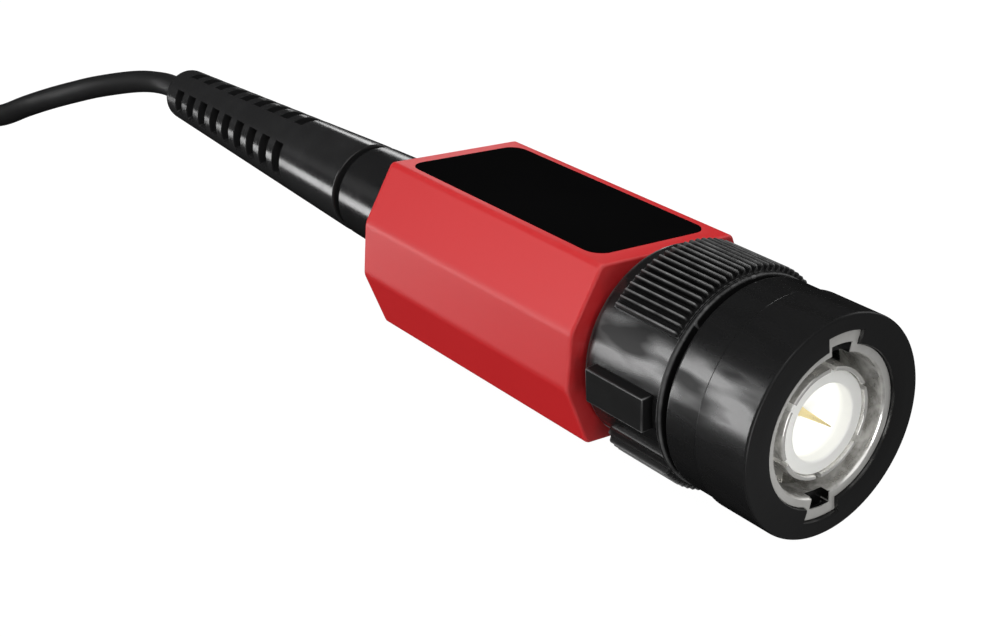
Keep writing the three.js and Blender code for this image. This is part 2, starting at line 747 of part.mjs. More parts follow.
function makeTie() {
  const frame = (grow) => {
    const [y0, y1] = [bundle.min.y - grow, bundle.max.y + grow];
    const [z0, z1] = [bundle.min.z - grow, bundle.max.z + grow];
    const corner = cordRadius + grow;
    const path = new THREE.Shape();
    path.absarc(y1 - corner, z1 - corner, corner, 0, Math.PI / 2);
    path.absarc(y0 + corner, z1 - corner, corner, Math.PI / 2, Math.PI);
    path.absarc(y0 + corner, z0 + corner, corner, Math.PI, Math.PI * 1.5);
    path.absarc(y1 - corner, z0 + corner, corner, Math.PI * 1.5, Math.PI * 2);
    return path;
  };
  const band = (grow, half) => prism(frame(grow), hank.x - half, hank.x + half);
  return cut(band(tie.thickness, tie.width / 2), band(0, tie.width / 2 + over));
}

// ---- Probe head ------------------------------------------------------------------------------
// Drawn along X from its rear end, then laid on the hank: the handle's shoulder rests on the
// folds and its belly on the tie.
const handleStart = head.bootLength + seat;
const handleEnd = handleStart + head.handleLength;
const guardEnd = handleEnd + head.guardLength;
const shoulderAt = handleStart + head.shoulderAt;
const bellyAt = handleStart + head.handleLength * 0.6;
const ringStart = guardEnd + seat;
const noseStart = ringStart + groundRing.length + seat;
const noseEnd = noseStart + nose.length;
const barrelStart = noseStart + hookBarrel.start;
const barrelEnd = barrelStart + hookBarrel.length;
const coverStart = noseStart + hookCover.travel + hookCover.spare;
const springStart = barrelEnd + seat;
const springEnd = springStart + hookCover.travel + hookSpring.turns * hookSpring.wire;
const coverShoulder = springEnd + seat;
const coverEnd = coverShoulder + hookCover.nozzleLength;
const needleEnd = noseEnd + needle.reach;

function makeHeadBoot() {
  const profile = [[0, cordBore], [0, head.bootRear - 0.4], [0.4, head.bootRear]];
  const pitch = head.bootLength / (head.bootRings + 1);
  const radiusAt = (s) => head.bootRear + ((head.bootFront - head.bootRear) * s) / head.bootLength;
  for (let i = 1; i <= head.bootRings; i++) {
    const s = i * pitch;
    const half = pitch * 0.22;
    profile.push([s - half, radiusAt(s - half)], [s - half, radiusAt(s) - head.ringDepth]);
    profile.push([s + half, radiusAt(s) - head.ringDepth], [s + half, radiusAt(s + half)]);
  }
  const spigot = head.bore - press;
  profile.push([head.bootLength, head.bootFront], [head.bootLength, spigot]);
  profile.push([head.bootLength + head.bootSpigot, spigot], [head.bootLength + head.bootSpigot, cordBore]);
  return turned(profile, small);
}

function makeHandle() {
  const start = handleStart;
  const outside = [
    [start, head.handleRear - 0.5],
    [start + 0.5, head.handleRear],
    [shoulderAt, head.shoulder],
    [start + head.handleLength * 0.3, head.handleWide],
    [bellyAt, head.belly],
    [start + head.handleLength * 0.84, head.waist],
    [handleEnd - 2.2, head.waist + 0.3],
    [handleEnd - 0.6, head.guard - 1.4],
    [handleEnd, head.guard],
    [guardEnd - 0.6, head.guard],
    [guardEnd, head.guard - 0.6],
  ];
  const noseBore = nose.radius + press;
  const bore = [
    [guardEnd, noseBore],
    [guardEnd - nose.tail, noseBore],
    [guardEnd - nose.tail, head.bore],
    [start, head.bore],
  ];
  return turned([...outside, ...bore], fine);
}

// The cable's last stretch, inside the boot and the handle, up to the divider in the handle.
const innerEnd = handleStart + head.handleLength * 0.45;
const makeHeadRun = () => rod(0, innerEnd, cordRadius, 12);

function makeDivider() {
  const start = innerEnd + seat;
  const end = guardEnd - nose.tail;
  const band = divider.radius + divider.band;
  return turned(
    [
      [start, 0],
      [start, band],
      [start + divider.bandLength, band],
      [start + divider.bandLength, divider.radius],
      [end - divider.bandLength, divider.radius],
      [end - divider.bandLength, band],
      [end, band],
      [end, 0],
    ],
    small,
  );
}

const makeGroundRing = () =>
  turned(
    [
      [ringStart, nose.radius + press],
      [ringStart, groundRing.radius],
      [ringStart + 0.9, groundRing.radius],
      [ringStart + 1.2, groundRing.radius - 0.5],
      [ringStart + 2, groundRing.radius - 0.5],
      [ringStart + 2.3, groundRing.radius],
      [ringStart + groundRing.length, groundRing.radius],
      [ringStart + groundRing.length, nose.radius + press],
    ],
    small,
  );

function makeNose() {
  const bore = needle.radius + press;
  return turned(
    [
      [guardEnd - nose.tail + seat, bore],
      [guardEnd - nose.tail + seat, nose.radius],
      [noseEnd - 2, nose.radius],
      [noseEnd, nose.front],
      [noseEnd, bore],
    ],
    small,
  );
}

const makeNeedle = () =>
  turned(
    [
      [noseEnd - needle.tail, 0],
      [noseEnd - needle.tail, needle.radius],
      [needleEnd - 2.2, needle.radius],
      [needleEnd, needle.point],
      [needleEnd, 0],
    ],
    12,
  );

// The sprung hook tip: a barrel pushed on the nose, its hook, and a cover that slides back.
function makeHookBarrel() {
  const inner = nose.radius + seat;
  return turned(
    [
      [barrelStart, inner],
      [barrelStart, hookBarrel.radius],
      [barrelEnd, hookBarrel.radius],
      [barrelEnd, hookWire.socket + press],
      [barrelEnd - hookBarrel.wall, hookWire.socket + press],
      [barrelEnd - hookBarrel.wall, inner],
    ],
    small,
  );
}

const hookOpening = hookWire.bend * 1.5;
function makeHookWire() {
  const start = barrelEnd - hookBarrel.wall;
  const socket = turned(
    [
      [start, needle.radius + press],
      [start, hookWire.socket],
      [start + hookWire.socketLength, hookWire.socket],
      [start + hookWire.socketLength, 0],
      [needleEnd + seat, 0],
      [needleEnd + seat, needle.radius + press],
    ],
    16,
  );
  const tip = coverEnd + hookWire.lip;
  const points = [new THREE.Vector3(start + hookWire.socketLength - 0.5, 0, 0)];
  points.push(new THREE.Vector3(tip - hookWire.bend, 0, 0));
  for (let i = 1; i <= 6; i++) {
    const angle = (Math.PI * i) / 6;
    const x = tip - hookWire.bend + hookWire.bend * Math.sin(angle);
    points.push(new THREE.Vector3(x, (hookOpening / 2) * (1 - Math.cos(angle)), 0));
  }
  points.push(new THREE.Vector3(tip - 2.4 * hookWire.bend, hookOpening, 0));
  return join(socket, sweep(points, hookWire.radius, 8));
}

function makeHookCover() {
  const bore = hookBarrel.radius + seat;
  const mouth = hookOpening + hookWire.radius + seat;
  return turned(
    [
      [coverStart, bore],
      [coverStart, hookCover.flange],
      [coverStart + hookCover.flangeLength, hookCover.flange],
      [coverStart + hookCover.flangeLength, hookCover.radius],
      [coverShoulder, hookCover.radius - 0.2],
      [coverShoulder + 1.5, hookCover.nozzle + 0.7],
      [coverEnd - 0.4, hookCover.nozzle],
      [coverEnd, hookCover.nozzle - 0.2],
      [coverEnd, mouth - seat],
      [coverShoulder, mouth],
      [coverShoulder, bore],
    ],
    small,
  );
}

function makeHookSpring() {
  const middle = (hookBarrel.radius + hookWire.socket) / 2;
  const [start, end] = [springStart + hookSpring.wire / 2, springEnd - hookSpring.wire / 2];
  const steps = 8;
  const count = hookSpring.turns * steps;
  const points = [];
  for (let i = 0; i <= count; i++) {
    const angle = (2 * Math.PI * i) / steps;
    const x = start + ((end - start) * i) / count;
    points.push(new THREE.Vector3(x, middle * Math.cos(angle), middle * Math.sin(angle)));
  }
  return sweep(points, hookSpring.wire / 2, 5, new THREE.Vector3(1, 0, 0));
}

// ---- Assembly --------------------------------------------------------------------------------

const finishes = {
  red: [0xc8202a, 0.45, 0],
  black: [0x1b1b1d, 0.5, 0],
  label: [0x0d0d0e, 0.35, 0],
  rubber: [0x202022, 0.7, 0],
  nickel: [0xb9bbbd, 0.3, 1],
  gold: [0xd9b25a, 0.3, 1],
  brass: [0xc2a15a, 0.35, 1],
  white: [0xf2f2f0, 0.5, 0],
  silicone: [0x8a8f93, 0.7, 0],
  board: [0x1f6b3a, 0.55, 0],
  component: [0x9fb7c9, 0.5, 0],
  steel: [0x9a9da0, 0.35, 1],
};

function piece(name, solid, finish) {
  const [color, roughness, metalness] = finishes[finish];
  const material = new THREE.MeshStandardMaterial({ color, roughness, metalness });
  const mesh = new THREE.Mesh(toGeometry(solid), material);
  mesh.name = name;
  return mesh;
}

const probe = new THREE.Group();

const connector = new THREE.Group();
connector.add(
  piece("coupling_shroud", makeShroud(), "black"),
  piece("coupling_grip", makeGrip(), "black"),
  piece("bayonet_ring", makeBayonetRing(), "nickel"),
  piece("slip_washer", makeSlipWasher(), "steel"),
  piece("wave_spring", makeWaveSpring(), "steel"),
  piece("sealing_gasket", makeGasket(), "silicone"),
  piece("contact_sleeve", makeSleeve(), "nickel"),
  piece("insulator", makeInsulator(), "white"),
  piece("center_pin", makePin(), "gold"),
  piece("bnc_body", makeBody(), "nickel"),
  piece("body_nut", makeBodyNut(), "brass"),
);

const compensationBox = new THREE.Group();
compensationBox.add(
  piece("housing_shell", makeHousing(), "red"),
  piece("label_plate", makeLabel(), "label"),
  piece("rear_cap", makeCap(), "black"),
  piece("strain_relief_boot", makeBoot(), "rubber"),
  piece("crimp_ferrule", makeFerrule(), "brass"),
  piece("cable_inner_run", makeInnerRun(), "rubber"),
  piece("compensation_board", makeBoard(), "board"),
  piece("series_resistor", makeResistor(), "component"),
  piece("compensation_capacitor", makeCapacitor(), "component"),
  piece("trimmer_body", makeTrimmerBody(), "white"),
  piece("trimmer_rotor", makeTrimmerRotor(), "brass"),
);

const hankTop = hankBase + (hank.layers - 1) * hank.pitch + cordRadius;
const shoulderRest = hankTop + seat + head.shoulder;
const bellyRest = bundle.max.z + tie.thickness + seat + head.belly;
const headTilt = Math.asin((bellyRest - shoulderRest) / (bellyAt - shoulderAt));
const probeHead = new THREE.Group();
probeHead.add(
  piece("head_boot", makeHeadBoot(), "rubber"),
  piece("head_inner_run", makeHeadRun(), "rubber"),
  piece("head_handle", makeHandle(), "black"),
  piece("divider_module", makeDivider(), "component"),
  piece("ground_ring", makeGroundRing(), "nickel"),
  piece("tip_sleeve", makeNose(), "black"),
  piece("tip_needle", makeNeedle(), "gold"),
  piece("hook_barrel", makeHookBarrel(), "black"),
  piece("hook_wire", makeHookWire(), "gold"),
  piece("hook_spring", makeHookSpring(), "steel"),
  piece("hook_cover", makeHookCover(), "black"),
);
probeHead.rotation.y = -headTilt;
probeHead.position.set(
  hank.x - bellyAt * Math.cos(headTilt),
  head.y,
  bellyRest - bellyAt * Math.sin(headTilt),
);

// The place on the probe head's axis at a distance behind its rear end.
function behindHead(distance) {
  const { x, y, z } = probeHead.position;
  return [x - distance * Math.cos(headTilt), y, z - distance * Math.sin(headTilt)];
}
const tailRoute = [
  hankOut,
  [-195.5, -15.3, 1.6],
  [-201.5, -16.2, 1.3],
  [-209, -16.4, 0.8],
  [-217, -16.4, 0.3],
  [-225, -16.4, -0.2],
  [-231, -16.35, -0.6],
  [-236.6, -15.7, -0.7],
  [-240.9, -13.4, -0.2],
  [-242.8, -10, 1],
  [-241.5, -6.7, 2.6],
  [-238.2, -4.8, 4.1],
  behindHead(cord.diameter * 1.2 + seat),
  behindHead(seat),
];

const lead = cordTube(leadRoute);
const tail = cordTube(tailRoute);
const cable = new THREE.Group();
cable.add(
  piece("cable_lead", lead.solid, "rubber"),
  piece("cable_coil", sweep(hankLine, cordRadius, hank.sides), "rubber"),
  piece("cable_tail", tail.solid, "rubber"),
  piece("cable_tie", makeTie(), "black"),
);

probe.add(connector, compensationBox, probeHead, cable);

let hankLength = 0;
for (let i = 1; i < hankLine.length; i++) hankLength += hankLine[i].distanceTo(hankLine[i - 1]);
console.log("hank least gap to itself", leastGap(hankLine, cord.diameter, loopSteps / 2).toFixed(3), "mm");
console.log("cord length", (lead.length + hankLength + tail.length).toFixed(1), "mm");

// The origin is the middle of the footprint of everything but the cable.
const footprint = new THREE.Box3();
for (const group of [connector, compensationBox, probeHead]) footprint.expandByObject(group, true);
const middle = footprint.getCenter(new THREE.Vector3());
probe.position.set(-middle.x, -middle.y, -footprint.min.z);

export default probe;
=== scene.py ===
# Oscilloscope probe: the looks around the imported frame.
# Sizes are in millimetres, measured from the middle of the coupling's front face with X along
# the coupling's axis and Z up. place() and TO_FRAME turn them into metres in the frame's axes.
from math import asin, cos, degrees, hypot, pi, radians, sin, sqrt
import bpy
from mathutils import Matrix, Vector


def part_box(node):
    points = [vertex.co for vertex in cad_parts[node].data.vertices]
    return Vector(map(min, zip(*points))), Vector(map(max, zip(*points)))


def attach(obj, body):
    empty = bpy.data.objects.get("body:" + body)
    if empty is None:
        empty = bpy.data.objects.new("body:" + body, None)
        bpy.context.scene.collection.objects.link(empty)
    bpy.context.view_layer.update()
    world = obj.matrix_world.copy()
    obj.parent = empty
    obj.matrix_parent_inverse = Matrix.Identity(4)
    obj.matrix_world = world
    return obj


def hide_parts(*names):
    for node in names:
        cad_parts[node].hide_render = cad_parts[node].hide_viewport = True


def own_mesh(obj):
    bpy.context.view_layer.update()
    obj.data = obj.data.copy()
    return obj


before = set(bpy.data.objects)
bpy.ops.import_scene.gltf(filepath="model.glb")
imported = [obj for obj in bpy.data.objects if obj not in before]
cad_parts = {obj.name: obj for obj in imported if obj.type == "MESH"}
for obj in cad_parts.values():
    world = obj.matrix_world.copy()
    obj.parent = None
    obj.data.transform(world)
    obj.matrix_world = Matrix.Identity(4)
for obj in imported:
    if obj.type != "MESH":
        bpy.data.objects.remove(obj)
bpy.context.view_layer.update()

from types import SimpleNamespace as Sizes

import bmesh
import bpy
from mathutils import Matrix, Vector

scene = bpy.context.scene
MM = 0.001
shroud_low, shroud_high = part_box("coupling_shroud")
COUPLING = Vector((shroud_high.x, (shroud_low.y + shroud_high.y) / 2, (shroud_low.z + shroud_high.z) / 2))
TO_FRAME = Matrix.Translation(COUPLING) @ Matrix.Scale(MM, 4)
FLOOR = -COUPLING.z / MM


def place(point):
    """A point in millimetres from the coupling's front face, in the frame's metres."""
    return TO_FRAME @ Vector(point)


def new_object(name, data):
    obj = bpy.data.objects.new(name, data)
    scene.collection.objects.link(obj)
    return obj


# ---- Camera
VIEW = Sizes(place=(62.681, -77.493, 47.107), azimuth=51.269, elevation=22.851, roll=3.454)
SENSOR_WIDTH = 36
LENS = 62.255
NEAREST, FARTHEST = 0.005, 20


def make_camera():
    data = bpy.data.cameras.new("camera")
    data.lens, data.sensor_width = LENS, SENSOR_WIDTH
    data.clip_start, data.clip_end = NEAREST, FARTHEST
    camera = new_object("camera", data)
    turn = Matrix.Rotation(radians(VIEW.azimuth), 4, "Z")
    tilt = Matrix.Rotation(radians(90 - VIEW.elevation), 4, "X")
    roll = Matrix.Rotation(radians(VIEW.roll), 4, "Z")
    camera.matrix_world = Matrix.Translation(place(VIEW.place)) @ turn @ tilt @ roll
    scene.camera = camera


make_camera()

# ---- Materials
# A mix node's sockets for colours, whose names aren't unique.
MIX_COLOURS, MIX_RESULT = (6, 7), 2


class Nodes:
    """A material's node tree, with short calls for the nodes that the finishes share."""

    def __init__(self, name):
        self.material = bpy.data.materials.new(name)
        self.material.use_nodes = True
        self.tree = self.material.node_tree
        self.shader = self.tree.nodes["Principled BSDF"]
        self.coords = self.tree.nodes.new("ShaderNodeTexCoord").outputs["Object"]

    def add(self, kind, inputs=(), **settings):
        node = self.tree.nodes.new(kind)
        for key, value in settings.items():
            setattr(node, key, value)
        for key, value in dict(inputs).items():
            if isinstance(value, bpy.types.NodeSocket):
                self.tree.links.new(value, node.inputs[key])
            else:
                node.inputs[key].default_value = value
        return node

    def link(self, output, name):
        self.tree.links.new(output, self.shader.inputs[name])

    def noise(self, size, detail=4, stretch=(1, 1, 1), roughness=0.55):
        """Noise with grains of about size millimetres, drawn out along the axes by stretch."""
        scale = [1 / (size * MM * s) for s in stretch]
        mapped = self.add("ShaderNodeMapping", {"Vector": self.coords, "Scale": scale})
        inputs = {"Vector": mapped.outputs[0], "Scale": 1, "Detail": detail, "Roughness": roughness}
        return self.add("ShaderNodeTexNoise", inputs).outputs["Fac"]

    def span(self, value, low, high, start=0.3, end=0.7):
        """value, moved from the span start..end to the span low..high."""
        inputs = {"Value": value, "From Min": start, "From Max": end, "To Min": low, "To Max": high}
        return self.add("ShaderNodeMapRange", inputs).outputs[0]

    def mix(self, factor, first, second):
        """A mix of two colours, each of them a socket or three numbers."""
        colours = [c if isinstance(c, bpy.types.NodeSocket) else (*c, 1) for c in (first, second)]
        inputs = {"Factor": factor, **dict(zip(MIX_COLOURS, colours))}
        return self.add("ShaderNodeMix", inputs, data_type="RGBA").outputs[MIX_RESULT]

    def maths(self, operation, *values):
        return self.add("ShaderNodeMath", dict(enumerate(values)), operation=operation).outputs[0]

    def times(self, first, *others):
        for other in others:
            first = self.maths("MULTIPLY", first, other)
        return first

    def facing(self):
        """How squarely the surface faces along the X axis, from 0 to 1."""
        normal = self.add("ShaderNodeTexCoord").outputs["Normal"]
        return self.maths("ABSOLUTE", self.add("ShaderNodeSeparateXYZ", {0: normal}).outputs[0])

    def placed(self):
        """x, y and z in metres, from the middle of the coupling's front face."""
        moved = self.add("ShaderNodeVectorMath", {0: self.coords, 1: COUPLING}, operation="SUBTRACT")
        return self.add("ShaderNodeSeparateXYZ", {0: moved.outputs[0]}).outputs

    def below(self, value, limit, soft=0.03):
        """1 where value is less than limit millimetres, 0 where it is more."""
        return self.span(value, 1, 0, (limit - soft) * MM, (limit + soft) * MM)

    def bump(self, height, distance, strength=1.0, normal=None):
        """A bump of height, distance millimetres deep."""
        inputs = {"Height": height, "Distance": distance * MM, "Strength": strength}
        if normal is not None:
            inputs["Normal"] = normal
        return self.add("ShaderNodeBump", inputs).outputs[0]

    def edges(self, low=0.51, high=0.58):
        """1 on outer edges, 0 elsewhere: where edge wear and a painted edge highlight go."""
        pointiness = self.add("ShaderNodeNewGeometry").outputs["Pointiness"]
        return self.span(pointiness, 0.0, 1.0, low, high)

    def settings(self, **values):
        for name, value in values.items():
            self.shader.inputs[name.replace("_", " ")].default_value = value


def plastic(name, colour, roughness, specular=0.25, grain=0.25, depth=0.004, edge_wear_and_highlight=None, wear_and_highlight=0.3,
            spread=0.06, tone=0.85):
    """Moulded plastic with a fine grain. The tone drifts down to tone times the colour, the gloss by
    spread, and the outer edges are lightened toward the edge colour: partly wear, partly a painted edge
    highlight."""
    n = Nodes(name)
    dark = [c * tone for c in colour]
    base = n.mix(n.span(n.noise(size=14, detail=3), 0, 1), dark, colour)
    # Lighter outer edges: partly wear, partly a painted edge highlight.
    if edge_wear_and_highlight:
        patches = n.span(n.noise(size=1.5, detail=3), 0.3 * wear_and_highlight, wear_and_highlight)
        base = n.mix(n.times(n.edges(), patches), base, edge_wear_and_highlight)
    n.link(base, "Base Color")
    n.link(n.span(n.noise(size=3.5, detail=5), roughness - spread, roughness + spread), "Roughness")
    n.link(n.bump(n.noise(grain, detail=2), depth), "Normal")
    n.settings(Specular_IOR_Level=specular)
    return n


def metal(name, colour, roughness, grain=0.3, depth=0.002, spread=0.08, stretch=(1, 1, 1), tarnish=0.8):
    """Plated or turned metal: fine turning marks, dull patches and a tone that drifts."""
    n = Nodes(name)
    dull = [c * tarnish for c in colour]
    n.link(n.mix(n.span(n.noise(size=2.2, detail=5), 0, 1), dull, colour), "Base Color")
    n.link(n.span(n.noise(size=1.4, detail=6), roughness - spread, roughness + spread), "Roughness")
    n.link(n.bump(n.noise(grain, 3, stretch), depth), "Normal")
    n.settings(Metallic=1)
    return n


def rubber(name, colour, roughness, specular=0.3, grain=0.16, depth=0.008):
    """Soft black rubber with a fine dry grain and dusty patches."""
    n = Nodes(name)
    dusty = [c * 1.3 for c in colour]
    n.link(n.mix(n.span(n.noise(size=4, detail=6), 0, 1, start=0.45, end=0.75), colour, dusty), "Base Color")
    n.link(n.span(n.noise(size=2.5, detail=5), roughness - 0.03, roughness + 0.04), "Roughness")
    n.link(n.bump(n.noise(grain, detail=2), depth), "Normal")
    n.settings(Specular_IOR_Level=specular)
    return n


def polished(n, reach):
    """Shiny streaks along the moulding's sides, within reach millimetres of the axis."""
    drawn_out = n.noise(size=1.3, detail=1.5, stretch=(3.6, 1, 1), roughness=0.45)
    streaks = n.span(drawn_out, 0, 1, start=0.38, end=0.62)
    on_sides = n.span(n.facing(), 1, 0, start=0.2, end=0.6)
    _, y, z = n.placed()
    radius = n.maths("SQRT", n.maths("ADD", n.times(y, y), n.times(z, z)))
    shine = n.times(streaks, on_sides, n.below(radius, reach))
    n.link(n.span(shine, 0.2, 0.9, start=0, end=1), "Specular IOR Level")
    n.link(n.span(shine, 0.34, 0.22, start=0, end=1), "Roughness")
    waves = n.bump(n.noise(size=1.2, detail=1, stretch=(4, 1, 1)), distance=0.015)
    n.link(n.bump(n.noise(size=0.25, detail=2), distance=0.002, normal=waves), "Normal")
    return n


def satin(n):
    """Plating with dull patches, which are faint on what faces along the axis."""
    strength = n.span(n.facing(), 1, 0.1, start=0.3, end=0.8)
    patches = n.span(n.noise(size=1.3, detail=3, stretch=(0.7, 1, 1)), -0.15, 0.22, start=0.38, end=0.62)
    n.link(n.maths("ADD", n.times(patches, strength), 0.58), "Metallic")
    return n


# The ring's entry slots, painted black as shade: half their width, and where they begin and end outward and
# along the axis.
SLOT = Sizes(half=0.95, start=4.84, behind=-0.34, depth=-1.05)
SLOT_SHADE_BLACK = (0.004, 0.004, 0.004)


def painted_slot_shade(n):
    """Painted shade: the plating inside the ring's two entry slots is painted black and made non-metallic,
    as dark as the black moulding that shows through their windows.
    """
    x, y, z = n.placed()
    near = n.times(n.below(n.maths("ABSOLUTE", y), SLOT.half), n.below(x, SLOT.behind))
    outside = n.maths("SUBTRACT", 1, n.below(n.maths("ABSOLUTE", z), SLOT.start))
    shallow = n.maths("SUBTRACT", 1, n.below(x, SLOT.depth))
    dark = n.times(near, outside, shallow)
    plating = n.shader.inputs["Base Color"].links[0].from_socket
    bright = n.shader.inputs["Metallic"].links[0].from_socket
    n.link(n.mix(dark, plating, SLOT_SHADE_BLACK), "Base Color")
    n.link(n.times(bright, n.maths("SUBTRACT", 1, dark)), "Metallic")
    return n


# Painted glow on the white plastic: where it starts and ends along the axis, its least and most strength,
# and its colour.
PAINTED_GLOW = Sizes(start=-1.6, end=-2.6, least=0.03, most=0.42, colour=(1, 1, 0.97, 1))


def painted_glow(n):
    """Painted light: the white plastic glows, most at the bottom of its dish."""
    along = n.add("ShaderNodeSeparateXYZ", {0: n.coords}).outputs[0]
    start, end = (place((x, 0, 0)).x for x in (PAINTED_GLOW.start, PAINTED_GLOW.end))
    n.settings(Emission_Color=PAINTED_GLOW.colour)
    n.link(n.span(along, PAINTED_GLOW.least, PAINTED_GLOW.most, start, end), "Emission Strength")
    return n


# RED and GRIP_BLACK lighten their outer edges: partly wear, partly a painted edge highlight.
RED = plastic("red_moulding", (0.62, 0.0155, 0.019), 0.38, grain=0.2, depth=0.0015, tone=0.985, spread=0.01,
              specular=0.36, edge_wear_and_highlight=(0.9, 0.22, 0.22), wear_and_highlight=0.4)
MOULDING = {"colour": (0.0105, 0.0105, 0.0107), "roughness": 0.25, "depth": 0.002, "tone": 0.95}
COUPLING_BLACK = polished(plastic("coupling_black", **MOULDING), 9)
GRIP_BLACK = polished(plastic("grip_black", **MOULDING, edge_wear_and_highlight=(0.2,) * 3, wear_and_highlight=1.1), 7.32)
CASE_BLACK = plastic("case_black", (0.015, 0.015, 0.0154), 0.22, grain=0.2, depth=0.0015, specular=0.5)
LABEL_BLACK = plastic("label_black", (0.003, 0.003, 0.0031), 0.4, specular=0, grain=0.12, depth=0.001)
BOOT_BLACK = rubber("boot_rubber", (0.02, 0.02, 0.0204), 0.19, specular=0.45, depth=0.003)
JACKET = rubber("cable_jacket", (0.012, 0.012, 0.0124), 0.5, specular=0.35, depth=0.002)
PLATING = {"colour": (0.78, 0.77, 0.74), "roughness": 0.22, "spread": 0.04, "tarnish": 0.93,
           "stretch": (0.4, 1, 1)}
NICKEL = satin(metal("nickel_bright", **PLATING))
# The ring's plating has painted shade, black, inside its entry slots.
RING_NICKEL = painted_slot_shade(satin(metal("ring_nickel", **PLATING)))
GOLD = metal("gold_plate", (0.88, 0.75, 0.42), 0.25, tarnish=0.75)
BRASS = metal("turned_brass", (0.74, 0.55, 0.27), 0.3)
STEEL = metal("spring_steel", (0.46, 0.46, 0.47), 0.3)
# The white plastic has a painted glow, brightest at the bottom of its dish.
WHITE = painted_glow(plastic("fluoroplastic", (0.88, 0.88, 0.85), 0.4, grain=0.3, tone=0.95, specular=0.4))
SILICONE = rubber("silicone_gasket", (0.24, 0.26, 0.28), 0.5)
BOARD = plastic("circuit_board", (0.02, 0.15, 0.06), 0.35)
COMPONENT = plastic("component_body", (0.14, 0.25, 0.36), 0.35)
CERAMIC = plastic("trimmer_ceramic", (0.7, 0.69, 0.65), 0.35)

# ---- Mesh tools


# The merging distance in millimetres, and shares of a bend or of a bevel.
MERGED, LONGEST_BEND, BESIDE_BEND, BESIDE_BEVEL = 1e-5, 0.4, 1.2, 0.6


def bend(start, corner, end, steps):
    """A curve from start to end that turns the corner between them."""
    shares = [k / steps for k in range(steps + 1)]
    return [start * (1 - t) ** 2 + corner * (2 * t * (1 - t)) + end * t * t for t in shares]


def rounded(points, steps=4):
    """A profile of (x, radius) whose corners with a third number are rounded by about that size. A
    point beside each bend keeps its shading, its edge wear and its painted edge highlight off the straight
    stretch."""
    line = []
    last = len(points) - 1
    for i, point in enumerate(points):
        here = Vector(point[:2])
        if len(point) < 3 or i in (0, last):
            line.append(tuple(here))
            continue
        before = Vector(points[i - 1][:2]) - here
        after = Vector(points[i + 1][:2]) - here
        near, far = (min(point[2], side.length * LONGEST_BEND) for side in (before, after))
        a, b = here + before.normalized() * near, here + after.normalized() * far
        line.append(tuple(here + before.normalized() * near * BESIDE_BEND))
        line += [tuple(p) for p in bend(a, here, b, steps)]
        line.append(tuple(here + after.normalized() * far * BESIDE_BEND))
    return line


def around(sides, extra=()):
    """Even angles round the circle, in radians. The extra ones, in degrees, replace those near them."""
    pitch = 360 / sides
    marks = sorted(set(round(a % 360, 4) for a in extra))

    def is_clear(angle):
        return all(abs((angle - mark + 180) % 360 - 180) > pitch * 0.35 for mark in marks)

    plain = [i * pitch for i in range(sides) if is_clear(i * pitch)]
    return [radians(a) for a in sorted(plain + marks)]


def skin(mesh, rings, ends=True):
    """Quads between neighbouring rings of vertices, and caps on the end rings if ends is True."""
    count = len(rings[0])
    for low, high in zip(rings, rings[1:]):
        for k in range(count):
            mesh.faces.new((low[k], low[(k + 1) % count], high[(k + 1) % count], high[k]))
    if ends:
        mesh.faces.new(rings[0])
        mesh.faces.new(rings[-1])
    bmesh.ops.recalc_face_normals(mesh, faces=mesh.faces)
    return mesh


def revolve(profile, angles):
    """A closed mesh: a profile of (x, radius) swept round the X axis. A radius may be a function of
    the angle."""
    mesh = bmesh.new()
    rings = []
    for x, r in profile:
        radii = [r(a) if callable(r) else r for a in angles]
        rings.append([mesh.verts.new((x, q * cos(a), q * sin(a))) for q, a in zip(radii, angles)])
    if profile[0][1] or profile[-1][1]:
        rings.append(rings[0])
    skin(mesh, rings, ends=False)
    bmesh.ops.remove_doubles(mesh, verts=mesh.verts, dist=MERGED)
    bmesh.ops.recalc_face_normals(mesh, faces=mesh.faces)
    return mesh


def block(x0, x1, y0, y1, z0, z1):
    """A plain tool for cutting and joining."""
    mesh = bmesh.new()
    bmesh.ops.create_cube(mesh, size=1)
    grow = Matrix.Diagonal((x1 - x0, y1 - y0, z1 - z0, 1))
    mesh.transform(Matrix.Translation(((x0 + x1) / 2, (y0 + y1) / 2, (z0 + z1) / 2)) @ grow)
    return mesh


def turned(mesh, angle):
    """mesh, turned round the X axis by an angle in degrees."""
    mesh.transform(Matrix.Rotation(radians(angle), 4, "X"))
    return mesh


def sector(start, end, inner, outer, half, x, steps=24):
    """A block between two radii that runs round the axis, its middle at x(t) for t from 0 to 1."""
    mesh = bmesh.new()
    rings = []
    for i in range(steps + 1):
        t = i / steps
        a = radians(start + (end - start) * t)
        corners = [(-half, inner), (-half, outer), (half, outer), (half, inner)]
        rings.append([mesh.verts.new((x(t) + dx, r * cos(a), r * sin(a))) for dx, r in corners])
    return skin(mesh, rings)


def loft(sections):
    """A closed solid through sections, each a list of as many points."""
    mesh = bmesh.new()
    return skin(mesh, [[mesh.verts.new(point) for point in section] for section in sections])


def as_object(mesh, name="work"):
    """An object of the mesh, which is used up."""
    data = bpy.data.meshes.new(name)
    mesh.to_mesh(data)
    mesh.free()
    return new_object(name, data)


def with_modifiers(obj):
    return obj.evaluated_get(bpy.context.evaluated_depsgraph_get())


def applied(obj, helpers=()):
    """The object's mesh with its modifiers applied. The object and its helpers are removed."""
    evaluated = with_modifiers(obj)
    mesh = bmesh.new()
    mesh.from_mesh(evaluated.to_mesh())
    evaluated.to_mesh_clear()
    for item in (obj, *helpers):
        bpy.data.objects.remove(item)
    return mesh


